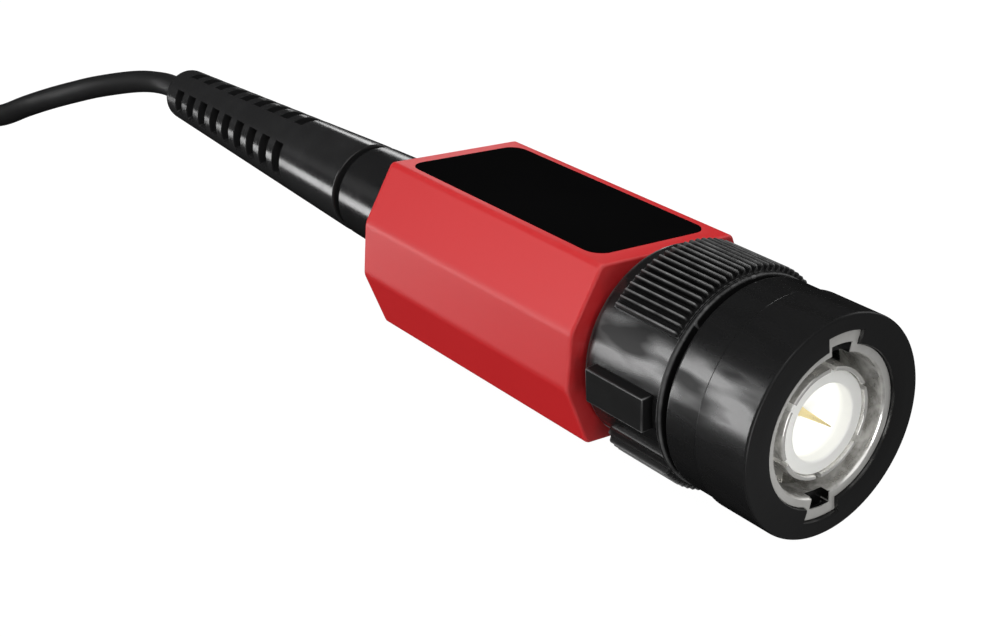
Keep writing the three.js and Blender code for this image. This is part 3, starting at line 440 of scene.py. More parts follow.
def combined(mesh, tools, operation="DIFFERENCE"):
    """mesh with each of the tools cut from it or joined to it."""
    base = as_object(mesh)
    helpers = [as_object(tool, "tool") for tool in tools]
    for helper in helpers:
        modifier = base.modifiers.new("bool", "BOOLEAN")
        modifier.operation = operation
        modifier.solver = "EXACT"
        modifier.object = helper
    return applied(base, helpers)


def bevelled(mesh, width):
    """mesh with rounded edges, and a loop beside each that keeps the edge wear and painted edge highlight
    off flat faces.
    """
    base = as_object(mesh)
    modifier = base.modifiers.new("bevel", "BEVEL")
    modifier.width = width
    modifier.segments = 2
    modifier.limit_method = "ANGLE"
    modifier.angle_limit = radians(40)
    result = applied(base)
    flat = [face for face in result.faces if face.calc_area() > (width * 4) ** 2]
    bmesh.ops.inset_individual(result, faces=flat, thickness=width * BESIDE_BEVEL)
    return result


def level_normals(obj):
    """Bends the shading at rounded edges only, so that flat faces look flat."""
    modifier = obj.modifiers.new("normals", "WEIGHTED_NORMAL")
    modifier.keep_sharp = True
    data = bpy.data.meshes.new_from_object(with_modifiers(obj))
    obj.modifiers.clear()
    obj.data = data


def piece(name, mesh, finish, replaces=(), body="root", matrix=TO_FRAME, sharp=32):
    """A finished piece: its mesh, which matrix turns into metres, its finish and the body it rides on."""
    obj = as_object(mesh, name)
    obj.data.transform(matrix)
    obj.data.materials.append(finish.material)
    obj.data.shade_smooth()
    obj.data.set_sharp_from_angle(angle=radians(sharp))
    level_normals(obj)
    if replaces:
        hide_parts(*replaces)
    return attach(obj, body)


# ---- Cable
# The same route as the solids': CORD is the cable's diameter and SEAT the room between pieces.
CORD = 2.2
SEAT = 0.3
TIE = Sizes(width=4, thickness=0.5, slack=0.15)
HANK = Sizes(x=-183.5, y=-4.1, run=36, fold=6.6, pitch=2.76, waist=3, loops=8, layers=4, run_steps=6,
             fold_steps=6, entry=2, lap=2, climb=3, lie=0.05)
LOOP_STEPS = 2 * (HANK.run_steps + HANK.fold_steps)
HANK_BASE = FLOOR + HANK.lie + CORD / 2
WAIST_LIFT = TIE.thickness + SEAT + TIE.slack
BOOT_REAR = -84.7


def hank_point(step, radius, level):
    """One point of a loop: a run heading for -X, a fold, a run heading back, and the other fold. The
    runs are drawn in and lifted at the waist, in their middle."""
    half = LOOP_STEPS / 2
    part = step % half
    side = -1 if step % LOOP_STEPS < half else 1
    along = HANK.run * (min(part / HANK.run_steps, 1) - 0.5)
    angle = pi * max(part - HANK.run_steps, 0) / HANK.fold_steps
    waist = cos(pi * along / HANK.run) ** 2
    x = HANK.x + side * (along + radius * sin(angle))
    y = HANK.y + side * (radius * cos(angle) - HANK.waist * waist)
    return Vector((x, y, HANK_BASE + level * HANK.pitch + WAIST_LIFT * waist))


def hank_path(fine=5):
    """The hank's centreline, in layers that spiral in and out again and climb along a run."""
    steps = HANK.loops * LOOP_STEPS + HANK.lap
    layers, climb = HANK.layers, HANK.climb
    per_layer = steps / layers
    swing = per_layer / LOOP_STEPS * HANK.pitch
    extra = CORD * HANK.run_steps / HANK.run
    points = [hank_point(HANK.entry - extra, HANK.fold + swing, 0)]
    for i in range(steps * fine + 1):
        step = i / fine
        layer = min(int(step / per_layer), layers - 1)
        done = step / per_layer - layer
        radius = HANK.fold + swing * (1 - done if layer % 2 == 0 else done)
        to_next = (layer + 1) * per_layer - step
        from_last = step - layer * per_layer
        level = layer
        if layer < layers - 1 and to_next < climb / 2:
            level += 0.5 - to_next / climb
        if layer > 0 and from_last < climb / 2:
            level -= 0.5 - from_last / climb
        points.append(hank_point(HANK.entry + step, radius, level))
    return [*points, hank_point(HANK.entry + steps + extra, HANK.fold + swing, layers - 1)]


def smooth_path(points, step=0.6):
    """A centripetal spline through the points, as a line of points about step apart."""
    points = [Vector(p) for p in points]
    points = [points[0] * 2 - points[1], *points, points[-1] * 2 - points[-2]]
    line = []
    for a, b, c, d in zip(points, points[1:], points[2:], points[3:]):
        t1 = sqrt((b - a).length)
        t2 = t1 + sqrt((c - b).length)
        t3 = t2 + sqrt((d - c).length)
        count = max(2, round((c - b).length / step))
        for i in range(count):
            t = t1 + (t2 - t1) * i / count
            p = a * ((t1 - t) / t1) + b * (t / t1)
            q = b * ((t2 - t) / (t2 - t1)) + c * ((t - t1) / (t2 - t1))
            r = c * ((t3 - t) / (t3 - t2)) + d * ((t - t2) / (t3 - t2))
            u = p * ((t2 - t) / t2) + q * (t / t2)
            v = q * ((t3 - t) / (t3 - t1)) + r * ((t - t1) / (t3 - t1))
            line.append(u * ((t2 - t) / (t2 - t1)) + v * ((t - t1) / (t2 - t1)))
    return [*line, points[-2]]


hank_line = hank_path()
at_waist = [p for p in hank_path(1) if abs(p.x - HANK.x) < 1]


def strapped(values):
    """The strap's inner bounds round the cable's middles at the waist."""
    grown = CORD / 2 + SEAT + TIE.slack
    return min(values) - grown, max(values) + grown


BUNDLE_Y, BUNDLE_Z = strapped([p.y for p in at_waist]), strapped([p.z for p in at_waist])

# The head's handle lies with its shoulder on the hank's folds and with its belly on the strap.
SHOULDER = Sizes(at=24.3, radius=4.85)
BELLY = Sizes(at=48.3, radius=5.1)
HEAD_Y = -4.4
shoulder_rest = HANK_BASE + (HANK.layers - 1) * HANK.pitch + CORD / 2 + SEAT + SHOULDER.radius
belly_rest = BUNDLE_Z[1] + TIE.thickness + SEAT + BELLY.radius
HEAD_TILT = asin((belly_rest - shoulder_rest) / (BELLY.at - SHOULDER.at))
HEAD_AXIS_X, HEAD_AXIS_Z = cos(HEAD_TILT), sin(HEAD_TILT)
HEAD = Vector((HANK.x - BELLY.at * HEAD_AXIS_X, HEAD_Y, belly_rest - BELLY.at * HEAD_AXIS_Z))
TO_HEAD = TO_FRAME @ Matrix.Translation(HEAD) @ Matrix.Rotation(-HEAD_TILT, 4, "Y")

# Points given one by one, from the strain relief to the hank and from the hank to the head.
LEAD_ROUTE = [
    (BOOT_REAR, 0, 0), (-87.3, 0, 0), (-89.4, -0.35, -0.05), (-91.7, -1.55, -0.3), (-95.7, -4.15, -1.5),
    (-98.6, -5.6, -2.65), (-101.8, -6.9, -4), (-104.4, -8.4, -5.3), (-106.1, -10.4, -6.45),
    (-108, -12.5, -6.84), (-110.8, -14.4, -6.88), (-115, -15.7, -6.88), (-120.5, -16.25, -6.88),
    (-128, -16.4, -6.88), (-137, -16.4, -6.88), (-146, -16.4, -6.88), (-155.5, -16.45, -6.88),
    (-165, -16.4, -6.85), (-171, -15.55, -6.6), hank_line[0],
]
TAIL_ROUTE = [
    hank_line[-1], (-195.5, -15.3, 1.6), (-201.5, -16.2, 1.3), (-209, -16.4, 0.8),
    (-217, -16.4, 0.3), (-225, -16.4, -0.2), (-231, -16.35, -0.6), (-236.6, -15.7, -0.7),
    (-240.9, -13.4, -0.2), (-242.8, -10, 1), (-241.5, -6.7, 2.6), (-238.2, -4.8, 4.1),
    HEAD - (1.2 * CORD + SEAT) * Vector((HEAD_AXIS_X, 0, HEAD_AXIS_Z)), HEAD,
]


def make_cable():
    """The whole cable from boot to boot, as one curve, and its length in metres."""
    route = smooth_path(LEAD_ROUTE)[:-1] + hank_line + smooth_path(TAIL_ROUTE)[1:]
    line = [place(p) for p in route]
    data = bpy.data.curves.new("cable", "CURVE")
    data.dimensions = "3D"
    data.bevel_depth = CORD / 2 * MM
    data.bevel_resolution = 4
    data.use_fill_caps = True
    spline = data.splines.new("POLY")
    spline.points.add(len(line) - 1)
    for point, co in zip(spline.points, line):
        point.co = (*co, 1)
    spline.use_smooth = True
    data.materials.append(JACKET.material)
    cable = new_object("cable", data)
    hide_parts("cable_lead", "cable_coil", "cable_tail")
    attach(cable, "root")
    length = sum((b - a).length for a, b in zip(line, line[1:]))
    return cable, length


cable, cable_length = make_cable()


# Half of the strap's section: shares of its width, and how far its rounded edges lie back.
TIE_EDGES = [(-0.5, 0.14), (-0.45, 0.02), (-0.38, 0), (0.38, 0), (0.45, 0.02), (0.5, 0.14)]
CORNER_STEPS = 8


def rounded_rectangle(low, high, radius):
    """A rectangle with round corners, whose middles lie between low and high."""
    points = []
    for quarter, (u, v) in enumerate((high, (low[0], high[1]), low, (high[0], low[1]))):
        for k in range(CORNER_STEPS + 1):
            a = radians(90 * (quarter + k / CORNER_STEPS))
            points.append((u + radius * cos(a), v + radius * sin(a)))
    return points


def make_tie():
    """The strap round the hank's waist, its edges a little rounded."""
    inward = CORD / 2
    low = (BUNDLE_Y[0] + inward, BUNDLE_Z[0] + inward)
    high = (BUNDLE_Y[1] - inward, BUNDLE_Z[1] - inward)
    section = TIE_EDGES + [(share, TIE.thickness - lift) for share, lift in reversed(TIE_EDGES)]
    mesh = bmesh.new()
    rings = [[mesh.verts.new((HANK.x + share * TIE.width, *point))
              for point in rounded_rectangle(low, high, inward + grow)] for share, grow in section]
    skin(mesh, rings + rings[:1], ends=False)
    return piece("hank_strap", mesh, BOOT_BLACK, ["cable_tie"])


hank_strap = make_tie()

# ---- Coupling
# Places along the axis, from the front face back, and radii.
GROOVE = Sizes(at=-7.3, radius=6.6)
SHROUD = Sizes(front_radius=7.72, rear_radius=7.58, step=-4.4, key_end=-5.57, rebate=1.8, lip=1.2,
               key_play=0.3)
GRIP = Sizes(front=-7.76, rear=-15.78, radius=7.18, rim=7.62, bore=5.7, rebate=1.4)
RING = Sizes(front=-0.27, radius=5.58, bore=4.9, hub=3.9, hub_wall=0.6, tab_radius=6.52, tab_angle=28,
             tab_length=5)
FIT = 0.02


def within(angle, middle, half):
    """True if the angle, in radians, is within half degrees of the middle or its opposite."""
    return abs((degrees(angle) - middle + 90) % 180 - 90) < half


def tab_sides(half):
    """The angles beside each side of the two tabs, in degrees."""
    beside = (half - 0.15, half + 0.15)
    return [middle + side * at for middle in (90, 270) for side in (-1, 1) for at in beside]


def make_shroud():
    half = RING.tab_angle / 2 + SHROUD.key_play
    key, bore = RING.tab_radius + FIT, RING.radius + FIT
    key_end, rebate, groove_radius = SHROUD.key_end, GROOVE.at + SHROUD.rebate, GROOVE.radius + FIT

    def keyed(grow):
        return lambda a: (key if within(a, 90, half) else bore) + grow

    profile = rounded([(GROOVE.at, groove_radius), (GROOVE.at, SHROUD.rear_radius, 0.22),
                       (SHROUD.step, SHROUD.rear_radius, 0.04), (SHROUD.step, SHROUD.front_radius, 0.1),
                       (0, SHROUD.front_radius, 0.2), (0, bore + SHROUD.lip)], 5)
    profile += [(0, keyed(0.12)), (-0.03, keyed(0.04)), (-0.12, keyed(0)), (key_end, keyed(0)),
                (key_end - 0.02, bore), (rebate, bore), (rebate, groove_radius)]
    mesh = revolve(profile, around(144, tab_sides(half)))
    piece("shroud", mesh, COUPLING_BLACK, ["coupling_shroud"], "coupling")


KNURL = Sizes(pitch=4, ridges=26, start=41, end=145, root=7.63, top=8.05, rear=-14.4)
# One ridge: the share of the pitch, and the height there from 0 to 1.
RIDGE = [(0, 0), (0.34, 0), (0.44, 0.82), (0.5, 1), (0.62, 1), (0.7, 0.86), (0.88, 0), (1, 0)]
KEY = Sizes(turn=7, width=2.5, rear=-14.58, length=5.6, sunk=0.6, edge=0.09)


def ridge(share):
    """Height of the knurl, from 0 to 1, at a share of one pitch."""
    for (a, low), (b, high) in zip(RIDGE, RIDGE[1:]):
        if share <= b:
            return low + (high - low) * (share - a) / (b - a)
    return 0.0


def make_grip():
    base, rim, low, high = GRIP.radius, GRIP.rim, KNURL.root, KNURL.top
    marks = []
    for start in (KNURL.start, KNURL.start + 180):
        end = start + KNURL.end - KNURL.start
        marks += [start + (i + share) * KNURL.pitch for i in range(KNURL.ridges) for share, _ in RIDGE[:-1]]
        marks += [start - 0.5, end + 0.5, end]

    def raised(height, lift=0.0):
        """The radius by angle, with the ridges at a share of their height."""

        def radius(a):
            angle = degrees(a) % 180
            if not KNURL.start - 0.01 <= angle <= KNURL.end + 0.01:
                return base
            share = ((angle - KNURL.start) / KNURL.pitch) % 1.0
            return low - lift + (high - low) * height * ridge(share)

        return radius

    rear, front = KNURL.rear, GRIP.front
    profile = rounded([(GRIP.rear, GRIP.bore), (GRIP.rear, base, 0.35), (rear - 0.02, base)])
    profile += [(rear, raised(0, 0.12)), (rear + 0.1, raised(0)), (rear + 0.22, raised(0)),
                (rear + 0.34, raised(0.8)), (rear + 0.48, raised(1)), (front - 0.75, raised(1)),
                (front - 0.62, raised(0.8)), (front - 0.52, raised(0)), (front - 0.44, raised(0)),
                (front - 0.42, base + 0.1)]
    rebate = GROOVE.at + GRIP.rebate
    profile += rounded([(front - 0.4, base + 0.1), (front - 0.38, rim, 0.08), (front, rim, 0.16),
                        (front, GROOVE.radius), (rebate, GROOVE.radius), (rebate, GRIP.bore)], 3)
    mesh = revolve(profile, around(120, marks))
    half = KEY.width / 2
    keys = [turned(bevelled(block(KEY.rear, KEY.rear + KEY.length, base - KEY.sunk, high, -half, half),
                            KEY.edge), turn) for turn in (KEY.turn, KEY.turn + 180)]
    mesh = combined(mesh, keys, "UNION")
    piece("grip", mesh, GRIP_BLACK, ["coupling_grip"], "coupling", sharp=28)


# Half angles in degrees, depths from the ring's front face, and how far the cuts run over.
ENTRY = Sizes(half_angle=9.5, depth=0.75, radius=5.72)
WINDOW = Sizes(half_angle=9, start=0.35, radius=7)
CAM = Sizes(at=3, width=2.3, pitch=2.1, sweep=78, end_half_angle=11, end_extra=0.2, end_shift=0.15)
OVER = Sizes(bore=1, side=0.3, face=1)


def make_ring():
    """The bayonet ring: two tabs, two entry slots and two helical cam slots with round ends."""
    front, bore, radius, hub = RING.front, RING.bore, RING.radius, RING.hub
    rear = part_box("bayonet_ring")[0].x / MM - COUPLING.x / MM
    half = RING.tab_angle / 2
    tab_end = front - RING.tab_length

    def tabbed(inward):
        return lambda a: (RING.tab_radius if within(a, 90, half) else radius) - inward

    profile = [(rear, hub), (rear, radius), (tab_end - 0.02, radius), (tab_end, tabbed(0)),
               (front - 0.06, tabbed(0)), (front, tabbed(0.06))]
    hub_front = rear + RING.hub_wall
    profile += rounded([(front, bore + 0.3), (front, bore + 0.14, 0.05), (front - 0.18, bore, 0.1),
                        (hub_front, bore), (hub_front, hub)], 3)
    mesh = revolve(profile, around(144, tab_sides(half)))
    inner, outer, cam_at = bore - OVER.bore, radius + OVER.side, front - CAM.at
    entry = (ENTRY.depth + OVER.face) / 2
    window = (ENTRY.depth - WINDOW.start) / 2

    def pocket(middle, half_angle, outer_radius, half_width, x, steps=24):
        ends = middle - half_angle, middle + half_angle
        return sector(*ends, inner, outer_radius, half_width, lambda t: x, steps)

    slots = []
    for turn in (90, 270):
        end = turn - CAM.sweep
        slots += [pocket(turn, ENTRY.half_angle, ENTRY.radius, entry, front + OVER.face - entry),
                  pocket(turn, WINDOW.half_angle, WINDOW.radius, window, front - WINDOW.start - window),
                  sector(turn + ENTRY.half_angle, end, inner, outer, CAM.width / 2,
                         lambda t: cam_at - CAM.pitch * t, 40),
                  pocket(end, CAM.end_half_angle, outer, CAM.width / 2 + CAM.end_extra,
                         cam_at - CAM.pitch - CAM.end_shift, 12)]
    piece("bayonet", combined(mesh, slots), RING_NICKEL, ["bayonet_ring"], "coupling")


SLEEVE = Sizes(radius=3.9, wall=0.3, front=-0.65, rear=-9.7, slots=6, slot=0.5, slot_length=6.4,
               first_turn=30)


def make_sleeve():
    """The contact sleeve: a tube with six slots that let its fingers spring."""
    radius, front, rear = SLEEVE.radius, SLEEVE.front, SLEEVE.rear
    bore = radius - SLEEVE.wall
    ends = [(rear, bore), (rear, radius), (front, radius, 0.14), (front, bore, 0.1), (rear, bore)]
    half = SLEEVE.slot / 2
    slots = [turned(block(front - SLEEVE.slot_length, 1, bore - 1, radius + 1, -half, half),
                    SLEEVE.first_turn + 360 / SLEEVE.slots * i) for i in range(SLEEVE.slots)]
    mesh = combined(revolve(rounded(ends)[:-1], around(120)), slots)
    piece("sleeve", mesh, NICKEL, ["contact_sleeve"])


def make_insulator():
    """The insulator: a stepped rod round the pin, with a dished face."""
    rear, shoulder, front, floor = -19.68, -9.7, -0.9, -2.8
    bore, rear_radius, radius, dish = 0.62, 2.23, 3.58, 2.65
    profile = rounded([(rear, bore), (rear, rear_radius), (shoulder, rear_radius), (shoulder, radius),
                       (front, radius, 0.1), (front, dish, 0.18), (floor, dish, 0.35), (floor, 0.33),
                       (floor - 0.5, bore)])
    piece("dielectric", revolve(profile, around(96)), WHITE, ["insulator"])


def make_pin():
    """The centre pin: a rod that steps down to a long needle point."""
    rear, radius, shoulder, root, tip = -22.58, 0.6, -3.4, -2.8, -0.25
    profile = rounded([(rear, 0), (rear, radius, 0.1), (shoulder, radius, 0.2), (root, 0.3, 0.2),
                       (tip - 0.07, 0.05, 0.02), (tip, 0)], 3)
    piece("needle_pin", revolve(profile, around(32)), GOLD, ["center_pin"])


def make_gasket():
    """The silicone ring round the sleeve's root."""
    rear, front, middle, half, sides = -8.6, -7.8, 4.425, 0.27, 16
    angles = [2 * pi * k / sides for k in range(sides)]
    profile = [((rear + front) / 2 + (front - rear) / 2 * cos(a), middle + half * sin(a)) for a in angles]
    piece("gasket", revolve(profile, around(96)), SILICONE, ["sealing_gasket"])


WAVE = Sizes(inner=3.9, outer=4.55, thickness=0.35, waves=3, end=352, steps=88)


def make_wave_spring():
    """The wave spring: a strip round the axis with three waves along it, as long as the CAD part."""
    rear, front = (round((TO_FRAME.inverted() @ Vector(corner)).x, 3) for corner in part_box("wave_spring"))
    middle, swing = (rear + front) / 2, (front - rear - WAVE.thickness) / 2
    mesh = sector(0, WAVE.end, WAVE.inner, WAVE.outer, WAVE.thickness / 2,
                  lambda t: middle - swing * cos(2 * pi * WAVE.waves * t), WAVE.steps)
    spring = piece("thrust_spring", mesh, STEEL, ["wave_spring"])
    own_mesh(spring)


make_shroud()
make_grip()
make_ring()
make_sleeve()
make_insulator()
make_pin()
make_gasket()
make_wave_spring()

# ---- Compensation box
BOX = Sizes(front=-16.08, rear=-40.84, half=8.23, height=6.587, top_half=6, side_half=2.1, wall=1.3,
            hole=3.9, edge=0.22)
# The rounding of the box's ends, in shares of the edge: along the axis and inward.
RIM = [(0, 1), (0.12, 0.5), (0.5, 0.12), (1, 0), (1.6, 0), (2.4, 0)]
TRIMMER = Sizes(x=-27.68, hole=1.6, guard=0.4)
LABEL = Sizes(rear=-39.54, length=21.8, width=10.2, corner=1.2, depth=0.28, proud=0.04, grow=0.08, edge=0.06)
RECESS = Sizes(depth=0.3, grow=0.12)


def box_section(x, inset, corner=0.3, steps=4):
    """The long octagonal section at x, drawn in by inset, with small round corners."""
    slope = (BOX.half - BOX.top_half) / (BOX.height - BOX.side_half)
    side, top = BOX.half - inset, BOX.height - inset
    top_half = BOX.top_half - inset * (hypot(1, slope) - slope)
    side_half = top - (side - top_half) / slope
    quarter = [(side, side_half), (top_half, top)]
    corners = quarter + [(-y, z) for y, z in reversed(quarter)]
    corners += [(-y, -z) for y, z in corners]
    points = []
    count = len(corners)
    for i, here in enumerate(corners):
        here = Vector(here)
        before = (Vector(corners[i - 1]) - here).normalized() * corner
        after = (Vector(corners[(i + 1) % count]) - here).normalized() * corner
        turn = [here + before * 2, here + before * 1.4, *bend(here + before, here, here + after, steps),
                here + after * 1.4, here + after * 2]
        points += [(x, p.x, p.y) for p in turn]
    return points


def guard_access_hole(shell):
    """Cuts in the underside round the trimmer's hole, which keep the edge wear and painted edge highlight at
    its edge.
    """
    for side in (-1, 1):
        guard = side * (TRIMMER.hole + TRIMMER.guard)
        for point, normal in (((TRIMMER.x + guard, 0, 0), (1, 0, 0)), ((0, guard, 0), (0, 1, 0))):
            under = [face for face in shell.faces if face.normal.z < -0.99]
            parts = {item for face in under for item in (face, *face.edges, *face.verts)}
            bmesh.ops.bisect_plane(shell, geom=list(parts), plane_co=point, plane_no=normal)


def make_housing():
    """The box: open at the rear, with the plug's hole, the label's recess and the trimmer's hole."""
    rear, front, height, wall, hole = BOX.rear, BOX.front, BOX.height, BOX.wall, BOX.hole
    rim = [(along * BOX.edge, inward * BOX.edge) for along, inward in RIM]
    sections = [box_section(rear + along, inset) for along, inset in rim]
    sections += [box_section(front - along, inset) for along, inset in reversed(rim)]
    shell = loft(sections)
    guard_access_hole(shell)
    inside = loft([box_section(rear - 1, wall), box_section(front - 1.5, wall)])
    behind, ahead = front - 2.5, front + 1
    front_hole = revolve([(behind, 0), (behind, hole), (ahead, hole), (ahead, 0)], around(48))
    recess = label_block(RECESS.grow, height - RECESS.depth, height + 1)
    x, radius = TRIMMER.x, TRIMMER.hole
    access = loft([[(x + radius * cos(a), radius * sin(a), z) for a in around(48)]
                   for z in (-height - 1, wall + 0.5 - height)])
    mesh = combined(shell, [inside, front_hole, recess, access])
    piece("box_shell", mesh, RED, ["housing_shell"])


def label_block(grow, z0, z1, edge=0.0):
    """The label's rounded plate between two heights, its upper edge rounded by edge."""
    x_mid = LABEL.rear + LABEL.length / 2
    a, b = LABEL.length / 2 - LABEL.corner, LABEL.width / 2 - LABEL.corner
    levels = [(0, z0), (0, z1 - edge)]
    if edge:
        levels += [(edge * 0.3, z1 - edge * 0.3), (edge, z1)]
    return loft([[(x, y, z) for x, y in rounded_rectangle((x_mid - a, -b), (x_mid + a, b),
                                                          LABEL.corner + grow - inset)]
                 for inset, z in levels])


def make_label():
    height = BOX.height
    mesh = label_block(LABEL.grow, height - LABEL.depth, height + LABEL.proud, LABEL.edge)
    piece("label", mesh, LABEL_BLACK, ["label_plate"])


NECK = Sizes(rear=-51.4, rear_radius=3.88, front_radius=4.3, socket=3.12, bore=2.5, step=3.1, plate=1.5,
             play=0.1)


def make_neck():
    """The tapered neck behind the box, and the plate that closes the box."""
    front, rear, step = BOX.rear, NECK.rear, NECK.rear + NECK.step
    inset = BOX.wall + NECK.play
    plate = loft([box_section(front + 0.02, inset), box_section(front + NECK.plate, inset)])
    profile = rounded([(rear, NECK.socket), (rear, NECK.rear_radius, 0.14), (front - 0.5, 4.22),
                       (front - 0.12, 4.26, 0.1), (front + 1, NECK.front_radius), (front + 1, NECK.bore),
                       (step, NECK.bore), (step, NECK.socket)])
    piece("neck", revolve(profile, around(96)), CASE_BLACK, ["rear_cap"])
    piece("rear_plate", bevelled(plate, 0.1), CASE_BLACK)


BOOT = Sizes(front=-52.2, front_radius=3.86, rear_radius=2.45, spigot_end=-48.6, spigot=3.08, bore=1.12)
BOOT_SLOTS = Sizes(count=9, pitch=2.43, first=10.1, width=1.3, depth=0.75, angle=50, turn=-5)
# One side of a slot: how far outside its edge, and how deep there in shares of its depth.
SLOT_SIDE = [(0.07, 0), (0.02, 0.08), (-0.03, 1)]


def boot_radius(x):
    share = (BOOT.front - x) / (BOOT.front - BOOT_REAR)
    return BOOT.front_radius + (BOOT.rear_radius - BOOT.front_radius) * share


def make_boot():
    """The strain relief: a long taper with four rows of slots across it."""
    half, turn, deepest = BOOT_SLOTS.angle / 2, BOOT_SLOTS.turn, BOOT_SLOTS.depth
    marks = [turn + 90 * row + s * (half + d) for row in range(4) for s in (-1, 1) for d in (-0.8, 0.8)]

    def sunk(depth, outside):
        return lambda a: outside - depth * (abs((degrees(a) - turn + 45) % 90 - 45) < half)

    front, spigot_end, spigot, bore = BOOT.front, BOOT.spigot_end, BOOT.spigot, BOOT.bore
    profile = rounded([(spigot_end, bore), (spigot_end, spigot), (front, spigot),
                       (front, BOOT.front_radius, 0.2), (front - 1, boot_radius(front - 1))])
    w = BOOT_SLOTS.width / 2
    sides = [(w + out, share) for out, share in SLOT_SIDE]
    sides += [(-w - out, share) for out, share in SLOT_SIDE[::-1]]
    for i in range(BOOT_SLOTS.count):
        middle = front - BOOT_SLOTS.first - i * BOOT_SLOTS.pitch
        profile += [(middle + dx, sunk(share * deepest, boot_radius(middle + dx))) for dx, share in sides]
    profile += rounded([(BOOT_REAR + 1.2, boot_radius(BOOT_REAR + 1.2)), (BOOT_REAR, BOOT.rear_radius, 0.7),
                        (BOOT_REAR, bore - 0.02, 0.1), (BOOT_REAR + 0.4, bore)], 6)
    mesh = revolve(profile, around(96, marks))
    piece("strain_relief", mesh, BOOT_BLACK, ["strain_relief_boot"])


make_housing()
make_label()
make_neck()
make_boot()

# ---- Probe head
# Profiles of places along the head's own axis, from the rear end of its boot, and radii.
CABLE_BORE = 1.12
HANDLE_REAR = 18.3
SPRING = Sizes(start=88.6, end=95.9, wire=0.45, turns=4, middle=2.45, steps=28, sides=10)


def head_piece(name, profile, sides, replaces, finish=CASE_BLACK, body="root", steps=3):
    """A turned piece of the head, from its profile."""
    mesh = revolve(rounded(profile, steps), around(sides))
    return piece(name, mesh, finish, [replaces], body, TO_HEAD)


def groove(middle, half, floor, rear, front, slope, rounding=0.1):
    """The profile of a ring groove, with the radius of its floor and of its rear and front edges."""
    inner = half - slope
    return [(middle - half, rear, 0.1), (middle - inner, floor, rounding), (middle + inner, floor, rounding),
            (middle + half, front, 0.1)]


def make_head_boot():
    """The slender strain relief of the head: a cone with six ring grooves."""
    rear, front, length, rings, spigot, depth = 1.9, 3.1, 18, 6, 2.46, 0.44
    pitch = length / (rings + 1)

    def radius(x):
        return rear + (front - rear) * x / length

    profile = [(0, CABLE_BORE), (0, rear, 0.5), (1, radius(1))]
    for i in range(1, rings + 1):
        x, half = i * pitch, pitch * 0.22
        profile += groove(x, half + 0.1, radius(x) - depth, radius(x - half), radius(x + half), 0.18, 0.12)
    profile += [(length, front, 0.3), (length, spigot), (length + 3, spigot), (length + 3, CABLE_BORE)]
    head_piece("head_relief", profile, 64, "head_boot", BOOT_BLACK)


def make_handle():
    """The handle: a long swell for the palm, grip rings at the waist, and the finger guard."""
    rear, front, bore, nose_bore = HANDLE_REAR, 70.88, 2.6, 2.82
    outline = [(rear, 3.7), (18.5, 4.1), (19.2, 4.34), (24.3, 4.82), (28.5, 5.12), (33.3, 5.28),
               (38.5, 5.27), (43.5, 5.2), (48.3, 5.08), (52, 4.92), (55.5, 4.72)]
    for i in range(6):
        radius = 4.66 - 0.035 * i
        outline += groove(57 + i * 1.45, 0.36, radius - 0.22, radius, radius, 0.1)
    outline += [(65.6, 4.72), (66.3, 5.1), (67, 5.9), (67.6, 6.85), (68.05, 7.9, 0.3), (68.5, 8.28, 0.3),
                (70.3, 8.28, 0.4), (front, 7.72, 0.3), (front, 4.4, 0.2), (70.6, 4.2, 0.1),
                (70.6, nose_bore), (64.9, nose_bore), (64.9, bore), (rear, bore)]
    head_piece("handle", outline, 112, "head_handle", steps=4)


def make_tip():
    """The ground ring, the insulated nose, the needle, and the core of the hook."""
    ring = [(71.22, 2.82), (71.22, 3.88, 0.12), (72.08, 3.88, 0.12), (72.4, 3.4, 0.12), (73.2, 3.4, 0.12),
            (73.52, 3.88, 0.12), (74.38, 3.88, 0.12), (74.38, 2.82)]
    head_piece("contact_ring", ring, 72, "ground_ring", NICKEL)
    sleeve = [(65.2, 0.57), (65.2, 2.68), (83.6, 2.68, 0.3), (85.7, 2.16, 0.25), (85.7, 0.57)]
    head_piece("nose", sleeve, 64, "tip_sleeve")
    needle = [(77.7, 0), (77.7, 0.45), (86.5, 0.45, 0.3), (88.6, 0.1, 0.05), (88.7, 0)]
    head_piece("probe_needle", needle, 24, "tip_needle", GOLD)
    barrel = [(76.3, 3), (76.3, 3.5, 0.15), (88.3, 3.5, 0.2), (88.3, 1.52), (87, 1.52), (87, 3)]
    head_piece("hook_core", barrel, 64, "hook_barrel")


def make_cover():
    """The sliding cover, whose flange is pulled back against the spring."""
    rear, shoulder, front = 81.2, 96.2, 105.68
    outline = [(rear, 3.82), (rear, 6.38, 0.35), (83.4, 6.38, 0.35), (83.4, 4.68, 0.25)]
    for i in range(5):
        outline += groove(86 + i * 1.7, 0.42, 4.46, 4.66, 4.66, 0.12)
    outline += [(shoulder, 4.48, 0.5), (97.7, 3.1, 0.7), (105.4, 2.4, 0.25), (front, 2.15, 0.1),
                (front, 1.78, 0.1), (shoulder, 2.05), (shoulder, 3.82)]
    head_piece("cover", outline, 80, "hook_cover", body="hook", steps=4)


